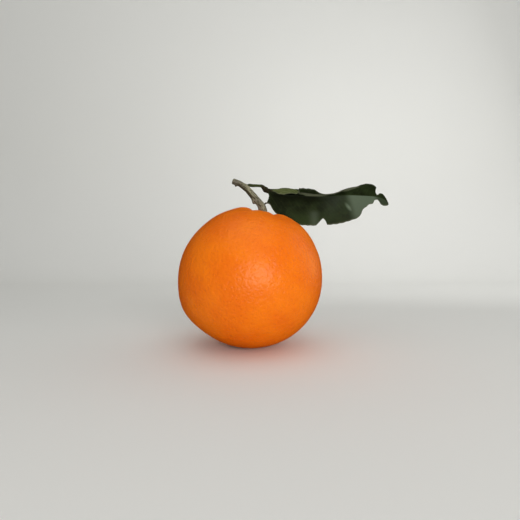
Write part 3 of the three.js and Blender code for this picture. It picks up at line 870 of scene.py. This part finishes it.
def fruit_radius(polar, turn):
    """Distance from the fruit's middle to its skin. polar is 0 at the stem."""
    ball = 1 / np.hypot(np.sin(polar) / FRUIT_RADIUS, np.cos(polar) / FRUIT_POLE_RADIUS)
    cup = -CUP_DEPTH * np.exp(-((polar / CUP_SPREAD) ** 4))
    saddle = 1 + SHOULDER_SADDLE * np.cos(2 * turn)
    shoulder = SHOULDER_RISE * saddle * bell(polar, SHOULDER_POLAR, SHOULDER_SPREAD)
    bulges = sum(
        rise * around(turn, side, spread) * bell(polar, down * DEGREE, BULGE_SPREAD)
        for rise, down, side, spread in BULGES
    )
    scar = -SCAR_DEPTH * bell(polar, math.pi, SCAR_SPREAD)
    waves = sum(
        height * np.sin(count * turn + phase) * np.sin(polar) ** 2
        for count, height, phase in FRUIT_WAVES
    )
    return ball + cup + shoulder + bulges - furrow_depth(polar, turn) + scar + waves


def on_fruit(polar, turn, lift=0.0):
    reach = fruit_radius(polar, turn) + lift
    directions = (np.sin(polar) * np.cos(turn), np.sin(polar) * np.sin(turn), np.cos(polar))
    return reach[..., None] * np.stack(np.broadcast_arrays(*directions), axis=-1)


def over_cup(lift):
    """The point of the fruit's core line that is this far above the cup's middle."""
    return on_fruit(np.zeros(1), np.zeros(1), lift)


CUP_MIDDLE = posed(over_cup(0))[0]


def ball_grid(cells):
    """Directions all round and the quads between them, from a cube's six faces, with no pole."""
    edge = np.tan(np.linspace(-math.pi / 4, math.pi / 4, cells + 1))
    across, up = np.meshgrid(edge, edge, indexing="ij")
    one = np.ones_like(across)
    sides = (
        (across, up, one), (up, across, -one), (one, across, up),
        (-one, up, across), (up, one, across), (across, -one, up),
    )
    points = unit(np.stack([np.stack(side, axis=-1) for side in sides])).reshape(-1, 3)
    width = cells + 1
    corner = (np.arange(cells)[:, None] * width + np.arange(cells)).ravel()
    quad = np.stack([corner, corner + width, corner + width + 1, corner + 1], axis=1)
    faces = np.vstack([quad + side * width * width for side in range(6)])
    keys = np.round(points * 1e6).astype(np.int64)
    _, first, merged = np.unique(keys, axis=0, return_index=True, return_inverse=True)
    return points[first], merged.ravel()[faces]


def relief_tree():
    """The geometry nodes that press the pores and pebbles of the peel into a skin."""
    sockets = (
        ("Skin", "Geometry"), ("Pore depth", "Float"), ("Pebble height", "Float"),
        ("Peel", "Material"),
    )
    group, tree, given = new_geometry_tree("peel relief", sockets, "Skin")
    place = tree.add("GeometryNodeInputPosition")
    height = (pebbles(tree, place) - 0.5) * given.other("Pebble height")
    height = height - pores(tree, place) * given.other("Pore depth")
    offset = tree.vector_maths("SCALE", tree.add("GeometryNodeInputNormal"), height)
    skin = tree.add("GeometryNodeSetPosition", {}, {"Geometry": given, "Offset": offset})
    finish_geometry_tree(tree, skin, given.other("Peel"))
    return group


def make_fruit():
    directions, faces = ball_grid(FACE_CELLS)
    polar = np.arccos(np.clip(directions[:, 2], -1, 1))
    turn = np.arctan2(directions[:, 1], directions[:, 0])
    points = posed(on_fruit(polar, turn))
    fruit = make_piece("fruit_peel", points, faces)
    add_values(fruit, polar=polar / DEGREE, furrow=np.clip(furrow_depth(polar, turn) / 2, 0, 1))
    apply_tree(
        fruit,
        relief_tree(),
        Pore_depth=PORE_DEPTH * MM,
        Pebble_height=PEBBLE_HEIGHT * MM,
        Peel=peel_material(),
    )
    rest_on_flat_spot(fruit)
    return fruit


def rest_on_flat_spot(fruit):
    """Presses what would reach below the table flat, with a soft rim round the flat spot."""
    places = read_points(fruit)
    height = places[:, 2] / MM
    places[:, 2] = (height + np.sqrt(height**2 + REST_SOFTNESS**2)) / 2 * MM
    fruit.data.vertices.foreach_set("co", places.ravel())
    fruit.data.update()


# ------------------------------------------------------------------ button


def make_button():
    turn = np.linspace(0, FULL_TURN, BUTTON_SECTORS, endpoint=False)[None, :]
    rings = np.linspace(0, 1, BUTTON_RINGS + 1)[1:]
    lobes = (np.cos(BUTTON_LOBES * turn) * 0.5 + 0.5) ** BUTTON_LOBE_FULLNESS
    ragged = BUTTON_RAG * (1.5 * np.sin(11 * turn + 1.3) + np.sin(23 * turn + 0.4))
    edge = BUTTON_RADIUS - BUTTON_LOBE * (1 - lobes) + ragged * lobes
    out = rings[:, None] ** 0.85
    polar = out * edge / FRUIT_POLE_RADIUS
    rays = np.sin(BUTTON_STREAKS * turn + 2 * np.sin(3 * turn))
    streak = np.clip(rays, 0, 1) * smoothstep(out, 0.25, 0.6)
    crown = BUTTON_CROWN * bell(out * edge, 0, BUTTON_CROWN_RADIUS)
    rim = BUTTON_RIM * np.sqrt(np.clip(1 - out**6, 0, 1))
    cleft = (1 - lobes) ** 2 * stretch(out, (0.45, 0.9), (0.93, 1))
    sunk = BUTTON_STREAK_DEPTH * streak * 4 * out * (1 - out) + BUTTON_CLEFT * cleft
    lift = BUTTON_EDGE_LIFT + rim + crown - sunk
    seat = np.full_like(lift, BUTTON_SEAT_LIFT)
    face = on_fruit(polar, turn, lift)
    grit = BUTTON_GRIT * roughen(face, BUTTON_GRIT_PITCH) * (1 - out**8)
    face += unit(face) * grit[..., None]
    loops = np.concatenate([face, on_fruit(polar, turn, seat)[::-1]])
    top = over_cup(BUTTON_EDGE_LIFT + BUTTON_RIM + BUTTON_CROWN)
    bottom = over_cup(BUTTON_SEAT_LIFT)
    points = posed(np.vstack([top, loops.reshape(-1, 3), bottom]))
    faces = closed_faces(len(loops), BUTTON_SECTORS, flipped=True)
    button = make_piece("stem_button", points, faces, button_material(), sharp=50)

    def over_both(value):
        return [0, *value.ravel(), *value[::-1].ravel(), 0]

    add_values(button, out=over_both(np.broadcast_to(out, streak.shape)), streak=over_both(streak))
    return button


# ------------------------------------------------------------------ twig


def from_cup(course):
    return Course(np.array(course) + CUP_MIDDLE)


def swellings(along, turn, lumps):
    return sum(
        rise * bell(along, at, np.where(along < at, below, above)) * around(turn, side, spread)
        for at, side, rise, below, above, spread in lumps
    )


def bark_grain(length, turn, twist):
    """Long, broken ridges of bark, -1 to 1, at millimetres up the twig and a turn round it."""
    lean = turn + twist * length
    round_twig = BARK_GRAIN_RADIUS * np.cos(lean), BARK_GRAIN_RADIUS * np.sin(lean)
    place = np.broadcast_arrays(*round_twig, BARK_GRAIN_STRETCH * length)
    return roughen(np.stack(place, axis=-1), BARK_GRAIN_PITCH)


def make_twig():
    course = from_cup(TWIG_COURSE)
    grain = {}

    def radius_at(along, turn):
        length = along * course.length
        flare = TWIG_FOOT_FLARE * bell(length, 0, TWIG_FOOT_FLARE_LENGTH)
        ridge = np.cos(TWIG_RIDGES * turn + TWIG_RIDGE_TURN)
        ridges = TWIG_RIDGE_RISE * ridge * (1 - TWIG_RIDGE_FADE * along)
        lumps = swellings(along, turn, (KNOB, BUD, LEAF_CUSHION, OUTER_BOW))
        grain["bark"] = bark_grain(length, turn, BARK_TWIST)
        rings = RING_RISE * bell(np.sin(RING_TURN * length + 0.6 * np.sin(turn)), 1, RING_SPREAD)
        bark = BARK_RELIEF * grain["bark"] - BARK_SINK
        bevel = END_BEVEL * smoothstep(along, 0.99, 1)
        return TWIG_RADIUS + flare + ridges + lumps + bark + rings - bevel

    twig = rod(course, radius_at, TWIG_SECTORS, TWIG_RINGS, "twig_bark", bark_material(), END_DOME)
    count = len(twig.data.vertices)
    foot = 1 + len(CAP_SHARES) * TWIG_SECTORS
    wall = slice(foot, foot + TWIG_SECTORS * TWIG_RINGS)
    up = np.repeat(np.linspace(0, 1, TWIG_RINGS), TWIG_SECTORS)
    turn = np.tile(np.linspace(0, FULL_TURN, TWIG_SECTORS, endpoint=False), TWIG_RINGS)
    # Painted shade: a dark stripe on the side of the bend away from the light.
    off_shade_stripe = np.abs(turn_between(turn, STRIPE_TURN * DEGREE)) / DEGREE
    shade_stripe = 1 - smoothstep(off_shade_stripe, *STRIPE_HALF_WIDTH)
    shade_stripe *= smoothstep(up, *STRIPE_START) * (1 - STRIPE_LOSS * smoothstep(up, *STRIPE_FADE))
    along, groove, cut, lichen = (np.zeros(count) for _ in range(4))
    along[wall] = up
    along[wall.stop :] = 1
    groove[wall] = smoothstep(-grain["bark"].ravel(), 0.0, 0.5)
    cut[wall.stop : -1] = np.repeat(np.linspace(0.15, 0.85, len(CAP_SHARES)), TWIG_SECTORS)
    cut[-1] = 1
    lichen[wall] = shade_stripe
    add_values(twig, along=along, groove=groove, cut=cut, lichen=lichen)
    return twig


def make_spine():
    """The thin shoot at the twig's side and the small spine it ends in."""
    course = from_cup(SPINE_COURSE)

    def radius_at(along, turn):
        taper = SPINE_RADIUS + (SPINE_TIP_RADIUS - SPINE_RADIUS) * along**SPINE_TAPER
        return taper + SPINE_RIPPLE * np.sin(5 * turn + 7 * along) * (1 - along)

    bark = bark_material()
    spine = rod(course, radius_at, SPINE_SECTORS, SPINE_RINGS, "twig_spine", bark, 0.2)
    # The spine takes the dark bark tone all over.
    add_values(spine, along=0.3, groove=0.55, cut=0, lichen=0.8)
    return spine


def lenticel_tree():
    """The geometry nodes that scatter small corky lenticels over a bark."""
    sockets = (
        ("Bark", "Geometry"), ("Spacing", "Float"), ("Width", "Float"), ("Seed", "Int"),
        ("Cork", "Material"),
    )
    group, tree, given = new_geometry_tree("lenticels", sockets, "Lenticels")
    spots = tree.add(
        "GeometryNodeDistributePointsOnFaces",
        {"distribute_method": "POISSON"},
        {
            "Mesh": given,
            "Distance Min": given.other("Spacing"),
            "Density Max": LENTICEL_DENSITY,
            "Seed": given.other("Seed"),
        },
        "Points",
    )
    size = tree.add(
        "FunctionNodeRandomValue",
        {"data_type": "FLOAT"},
        {2: LENTICEL_SIZES[0], 3: LENTICEL_SIZES[1], "Seed": given.other("Seed")},
        1,
    )
    values = {"Radius": given.other("Width"), "Subdivisions": 2}
    wart = tree.add("GeometryNodeMeshIcoSphere", {}, values)
    sides = {"X": size, "Y": size * LENTICEL_WIDTH, "Z": size * LENTICEL_HEIGHT}
    flat = tree.add("ShaderNodeCombineXYZ", {}, sides)
    warts = tree.add(
        "GeometryNodeInstanceOnPoints",
        {},
        {"Points": spots, "Instance": wart, "Rotation": spots.other("Rotation"), "Scale": flat},
    )
    finish_geometry_tree(tree, warts, given.other("Cork"), smooth=True)
    return group


def make_lenticels(twig):
    return apply_tree(
        add_object("twig_lenticels", twig.data.copy()),
        lenticel_tree(),
        Spacing=LENTICEL_SPACING * MM,
        Width=LENTICEL_RADIUS * MM,
        Seed=LENTICEL_SEED,
        Cork=lenticel_material(),
    )


# ------------------------------------------------------------------ leaf

RIB = from_cup(RIB_COURSE)
FORWARD, BACK = np.array([0, -1.0, 0]), np.array([0, 1.0, 0])
UP, DOWN = np.array([0, 0, 1.0]), np.array([0, 0, -1.0])
AHEAD = np.array([1.0, 0, 0])


def walk(reach, from_angle, to_angle, ahead, aside):
    """The step of reach millimetres whose heading goes evenly from one angle to another."""
    start = from_angle * DEGREE
    turn = (to_angle - from_angle) * DEGREE
    safe = np.where(np.abs(turn) < 1e-4, 1e-4, turn)
    along_ahead = reach * (np.sin(start + safe) - np.sin(start)) / safe
    along_aside = reach * (np.cos(start) - np.cos(start + safe)) / safe
    return along_ahead[..., None] * ahead + along_aside[..., None] * aside


def margin_trim(length, phase):
    wave = 0.5 - 0.5 * np.cos(FULL_TURN * length / SCALLOP_PITCH + phase)
    return SCALLOP_DEPTH * wave * stretch(length, SCALLOP_START, SCALLOP_END)


def lean(keys, length, share):
    """The step along the blade of a place at this share of the way from the rib to the margin."""
    return (through(keys, length) * share**LEAN_CURVE)[..., None] * AHEAD


def through_bite(length):
    inside = (length > BITE[0][0]) & (length < BITE[-1][0])
    return np.where(inside, through(BITE, length), 0)


def near_half(length, share):
    """Points of the hanging half and their distance from the rib. share is 1 at the margin."""
    width = through(NEAR_WIDTH, length)
    reach = share * (width - margin_trim(length, 0) - through_bite(length))
    root = through(NEAR_ROOT_ANGLE, length)
    edge = through(NEAR_EDGE_ANGLE, length)
    step = walk(reach, root, root + (edge - root) * reach / width, FORWARD, DOWN)
    step = step + lean(NEAR_LEAN, length, reach / width)
    return RIB.at(length / RIB.length) + step, reach


def far_half(length, part):
    """Points of the far half and their distance from the rib. part runs 0 to 1 over the ledge,
    1 to 2 over the curl and 2 to 3 past it."""
    width = through(FAR_WIDTH, length)
    ledge = width * through(FAR_LEDGE, length)
    curl = width * through(FAR_CURL, length)
    past = width - ledge - curl - margin_trim(length, FAR_SCALLOP_PHASE)
    root = through(FAR_ROOT_ANGLE, length)
    edge = through(FAR_LEDGE_ANGLE, length)
    turn = through(FAR_TURN, length)
    on_ledge, on_curl, on_past = (np.clip(part - k, 0, 1) for k in range(3))
    reach = ledge * on_ledge + curl * on_curl + past * on_past
    points = (
        RIB.at(length / RIB.length)
        + walk(ledge * on_ledge, root, root + (edge - root) * on_ledge, BACK, UP)
        + walk(curl * on_curl, edge, edge + turn * on_curl, BACK, UP)
        + walk(past * on_past, edge + turn, edge + turn, BACK, UP)
        + lean(FAR_LEAN, length, reach / width)
    )
    return points, reach


def side_veins(length, reach, shift):
    """How strongly a side vein shows, 0 to 1, at a length along and a distance from the rib."""
    slope = VEIN_SLOPE + 2 * VEIN_BEND * reach
    wander = 0.5 * np.sin(length * 0.21 + shift) + 0.35 * np.sin(reach * 0.5 + length * 0.13)
    launch = length - VEIN_SLOPE * reach - VEIN_BEND * reach**2 + wander - VEIN_FOOT - shift
    off = (launch / VEIN_PITCH + 0.5) % 1 - 0.5
    apart = np.abs(off) * VEIN_PITCH / np.sqrt(1 + slope**2)
    half = np.abs((launch / VEIN_PITCH) % 1 - 0.5) * VEIN_PITCH / np.sqrt(1 + slope**2)
    thin = 1 - 0.5 * smoothstep(reach, 4, 20)
    return np.maximum(bell(apart, 0, VEIN_SPREAD * thin), 0.3 * bell(half, 0, 0.24))


def blade_middle():
    """The blade's middle surface as a grid of points from foot to tip and from the near margin
    to the far one, with each point's place along the rib and distance from it."""
    length = np.linspace(0, RIB.length, BLADE_STEPS + 1)[:, None]
    near_share = np.linspace(1, 0, NEAR_STEPS + 1)[None, :-1]
    steps = (LEDGE_STEPS, CURL_STEPS, PAST_CURL_STEPS)
    parts = [k + np.arange(count) / count for k, count in enumerate(steps)]
    far_part = np.concatenate([*parts, [3.0]])[None, :]
    near, near_reach = near_half(length, near_share)
    far, far_reach = far_half(length, far_part)
    middle = np.concatenate([near, far], axis=1)
    reach = np.concatenate([near_reach, far_reach], axis=1)
    is_near = np.broadcast_to(np.arange(reach.shape[1])[None, :] < NEAR_STEPS, reach.shape)
    whole = np.where(is_near, near_reach[:, :1], far_reach[:, -1:])
    inward = smoothstep(whole - reach, 0, BLADE_RIM)
    return middle, np.broadcast_to(length, reach.shape), reach, is_near, inward


def blade_faces(rows, columns):
    """Faces of a closed sheet: its upper grid, the one below it, and the rim between them."""
    index = np.arange(rows * columns).reshape(rows, columns)
    low = index + rows * columns
    a, b, c, d = index[:-1, :-1], index[1:, :-1], index[1:, 1:], index[:-1, 1:]
    face = np.stack([a, b, c, d], axis=-1).reshape(-1, 4)
    back = np.stack([a, d, c, b], axis=-1).reshape(-1, 4) + rows * columns
    rims = (
        np.stack([low[:-1, 0], low[1:, 0], index[1:, 0], index[:-1, 0]], axis=-1),
        np.stack([index[:-1, -1], index[1:, -1], low[1:, -1], low[:-1, -1]], axis=-1),
        np.stack([low[0, 1:], low[0, :-1], index[0, :-1], index[0, 1:]], axis=-1),
        np.stack([low[-1, :-1], low[-1, 1:], index[-1, 1:], index[-1, :-1]], axis=-1),
    )
    return np.vstack([face, back, *rims]).tolist()


def near_half_tones(along, reach):
    """Where the hanging half has a painted sheen, fresh green, or painted shade below the rib."""
    front = along - SHEEN_LEAN * reach
    bloom = sum(share * smoothstep(front, start, full) for share, start, full in SHEEN_STEPS)
    bloom = bloom * (1 - SHEEN_END_LOSS * smoothstep(along, *SHEEN_END))
    # A painted highlight in a streak and a patch, added to the sheen.
    streak = bell(along - 0.5 * reach, 60, 1.5) * bell(reach, 10, 3.6)
    patch = 0.22 * bell(along, 39.5, 3.5) * smoothstep(reach, 9, 14)
    bloom = np.maximum(bloom, np.maximum(streak, patch))
    fresh = smoothstep(reach, *FRESH_AWAY) * stretch(along, *FRESH_STRETCH)
    shade = stretch(along, *NEAR_SHADE_STRETCH) * bell(reach, 0, NEAR_SHADE_SPREAD)
    return bloom, fresh, shade * (1 - 0.5 * smoothstep(along, 38, 46))


def far_half_tones(along, reach, wander):
    """Where the far half has a painted sheen, and painted shade under its flap and at its end."""
    # Painted sheen where the far half's face catches the bright wall at a grazing angle.
    inside = through(SHEEN_STRIP_REACH, along) - reach + wander
    sheen_strip = smoothstep(inside, -1.1, 1.1) * smoothstep(along + wander, *SHEEN_STRIP_START)
    sheen_strip = sheen_strip * smoothstep(reach - 6 * (1 - smoothstep(along, 29.5, 33)), -0.5, 0.5)
    sheen_strip = sheen_strip * (1 - smoothstep(along + 0.4 * (12.8 - reach) + wander, *SHEEN_STRIP_END))
    outside = reach - through(SHEEN_BRIM_START, along) + wander
    sheen_brim = smoothstep(outside, -1.4, 1.4) * smoothstep(along + wander, 43, 51)
    sheen_brim = sheen_brim * (1 - smoothstep(along, *SHEEN_BRIM_END))
    shade = bell(reach, 0, FAR_SHADE_SPREAD) * stretch(along, *FAR_SHADE_STRETCH)
    flap_end = smoothstep(along - 26.4 - 0.5 * np.abs(reach - 16.8), -0.3, 0.3)
    flap_end = flap_end * (1 - smoothstep(along, 31, 34))
    return np.maximum(sheen_strip, sheen_brim), shade, flap_end


def twice(values):
    """The same values for the upper side and the underside."""
    return np.concatenate([values.ravel(), values.ravel()])


def make_blade():
    middle, along, reach, is_near, inward = blade_middle()
    normal = unit(np.cross(np.gradient(middle, axis=0), np.gradient(middle, axis=1)))
    vein = np.where(is_near, side_veins(along, reach, 0.0), side_veins(along, reach, VEIN_SHIFT))
    vein = vein * smoothstep(reach, *VEIN_ROOT) * (1 - smoothstep(along, *VEIN_END))
    rib = RIB_RISE * (1 - RIB_FADE * along / RIB.length) * bell(reach, 0, RIB_SPREAD)
    groove = RIB_GROOVE * bell(reach, 0, RIB_GROOVE_SPREAD)
    half = BLADE_THICKNESS / 2 * (BLADE_RIM_SHARE + (1 - BLADE_RIM_SHARE) * inward)
    bend = QUILT_RISE * roughen(middle, QUILT_PITCH, 2) * inward
    upper = half + bend - VEIN_SINK * vein * inward - groove
    lower = half - bend + VEIN_RISE * vein * inward + rib
    top = middle + normal * upper[..., None]
    under = middle - normal * lower[..., None]
    points = np.vstack([top.reshape(-1, 3), under.reshape(-1, 3)])
    blade = make_piece("leaf_blade", points, blade_faces(*reach.shape), leaf_material(), sharp=70)

    # The foot, the tip and the margin are dry and brown.
    foot = 1 - smoothstep(along, 1.5, 6.0) * 0.9
    far_foot = np.where(is_near, 0, 0.8 * (1 - smoothstep(along, 6, 9)))
    tip = 0.6 * smoothstep(along, 91, 97)
    dry = np.maximum.reduce([foot, far_foot, tip, 0.35 * (1 - inward)])
    # Painted sheen and painted shade on both halves, stored for the material.
    bloom, fresh, near_shade = near_half_tones(along, reach)
    wander = TONE_WANDER * roughen(middle, TONE_WANDER_PITCH)
    pale, far_shade, flap_end = far_half_tones(along, reach, wander)
    shades = (np.where(is_near, near_shade, far_shade), np.where(is_near, 0, flap_end))
    add_values(
        blade,
        under=np.repeat([0.0, 1.0], reach.size),
        vein=twice(np.maximum(vein, 0.8 * bell(reach, 0, 0.6))),
        dry=twice(dry),
        edge=twice(1 - inward),
        bloom=twice(np.where(is_near, bloom, 0)),
        shade=np.concatenate([shade.ravel() for shade in shades]),
        pale=twice(np.where(is_near, 0, pale)),
        fresh=twice(np.where(is_near, fresh, 0)),
    )
    aside = SPREAD_MIDDLE + np.where(is_near, -reach, reach)
    spread = np.stack([twice(along), twice(aside)], axis=1) * MM
    corners = np.empty(len(blade.data.loops), np.int32)
    blade.data.loops.foreach_get("vertex_index", corners)
    layer = blade.data.uv_layers.new(name="leaf spread")
    layer.data.foreach_set("uv", spread[corners].astype(np.float32).ravel())
    return blade


def make_stalk():
    """The leaf's stalk, with its rough joint where the blade begins."""
    course = from_cup((STALK_ROOT, *STALK_COURSE))
    at, rise, spread = STALK_SWELL
    knob_rise, knob_spread = STALK_KNOBS
    rooted = 1 - from_cup(STALK_COURSE).length / course.length

    def radius_at(share, turn):
        along = (share - rooted) / (1 - rooted)
        joint = rise * bell(along, at, spread)
        knobs = np.sin(23 * along + 2 * np.sin(2 * turn)) * bell(along, at, knob_spread)
        ripple = STALK_RIPPLE * np.sin(4 * turn + 9 * along)
        return STALK_RADIUS + joint + knob_rise * knobs + ripple

    leaf = leaf_material()
    stalk = rod(course, radius_at, STALK_SECTORS, STALK_RINGS, "leaf_stalk", leaf, 0.1)
    east = read_points(stalk)[:, 0] / MM - CUP_MIDDLE[0]
    # Painted highlight: paler and less brown along the stalk's upward-facing top.
    lit_top = smoothstep(read_points(stalk, "normal")[:, 2], 0.3, 0.9) * smoothstep(east, -2.5, -0.5)
    dry = (0.2 + 0.8 * smoothstep(east, -1.6, 0.8)) * (1 - 0.7 * lit_top)
    add_values(stalk, under=0.45, vein=0.5, dry=dry, edge=0.5 * lit_top)
    return stalk


# ------------------------------------------------------------------ backdrop, light and camera


def make_backdrop():
    """A pale floor that sweeps up into a pale wall."""
    bend = [
        (SWEEP_START + SWEEP_RADIUS * math.sin(a), SWEEP_RADIUS * (1 - math.cos(a)))
        for a in np.linspace(0, math.pi / 2, 24)
    ]
    profile = [(FLOOR_START, 0), *bend, (SWEEP_START + SWEEP_RADIUS, WALL_TOP)]
    points = [(side, y, z) for y, z in profile for side in (-HALF_FLOOR, HALF_FLOOR)]
    faces = [(2 * k, 2 * k + 1, 2 * k + 3, 2 * k + 2) for k in range(len(profile) - 1)]
    material, tree, place = new_material("backdrop")
    haze = tree.grain(place, 300, 2)
    colour = tree.blend(haze, BACKDROP_TONE, tuple(c * 0.97 for c in BACKDROP_TONE))
    finish_material(tree, Base_Color=colour, Roughness=0.9, Specular_IOR_Level=0.2)
    backdrop = make_piece("backdrop", points, faces, material)
    backdrop.visible_glossy = False


def add_area_light(name, place, target, width, height, power):
    data = bpy.data.lights.new(name, "AREA")
    data.shape = "RECTANGLE"
    data.size, data.size_y = width * MM, height * MM
    data.energy = power
    aim(add_object(name, data), place, Vector(target) - Vector(place))


def add_lights():
    middle = Vector((0, 0, FRUIT_CENTRE_HEIGHT))
    for name, turn, rise, distance, width, height, power in LIGHTS:
        turn, rise = math.radians(turn), math.radians(rise)
        way = (math.sin(turn) * math.cos(rise), -math.cos(turn) * math.cos(rise), math.sin(rise))
        place = middle + Vector(way) * distance
        add_area_light(name, place, middle, width, height, power)
    for name, place, target, power in WALL_LIGHTS:
        add_area_light(name, place, target, *WALL_LIGHT_SIZE, power)
    world = bpy.data.worlds.new("room")
    world.use_nodes = True
    background = world.node_tree.nodes["Background"]
    background.inputs["Color"].default_value = (1, 1, 0.98, 1)
    background.inputs["Strength"].default_value = ROOM_GLOW
    bpy.context.scene.world = world
    world.cycles_visibility.glossy = False
    bpy.context.scene.view_settings.view_transform = "Standard"


def add_camera():
    data = bpy.data.cameras.new("eye")
    data.sensor_width = SENSOR_WIDTH
    data.lens = SENSOR_WIDTH * FOCAL_SHARE
    data.clip_start = 1 * MM
    bpy.context.scene.camera = add_object("eye", data)
    aim(bpy.context.scene.camera, EYE, Vector(EYE_FORWARD))


# ------------------------------------------------------------------ assembly


def dress(piece, node):
    """Puts a finished piece on the object's body, in place of a plain node."""
    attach(piece, "root")
    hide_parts(node)


add_camera()
dress(make_fruit(), "fruit")
dress(make_button(), "button")
twig_bark = make_twig()
twig_lenticels = make_lenticels(twig_bark)
dress(twig_bark, "twig")
dress(make_spine(), "twig")
dress(twig_lenticels, "twig")
dress(make_blade(), "leaf")
dress(make_stalk(), "leaf")
make_backdrop()
add_lights()
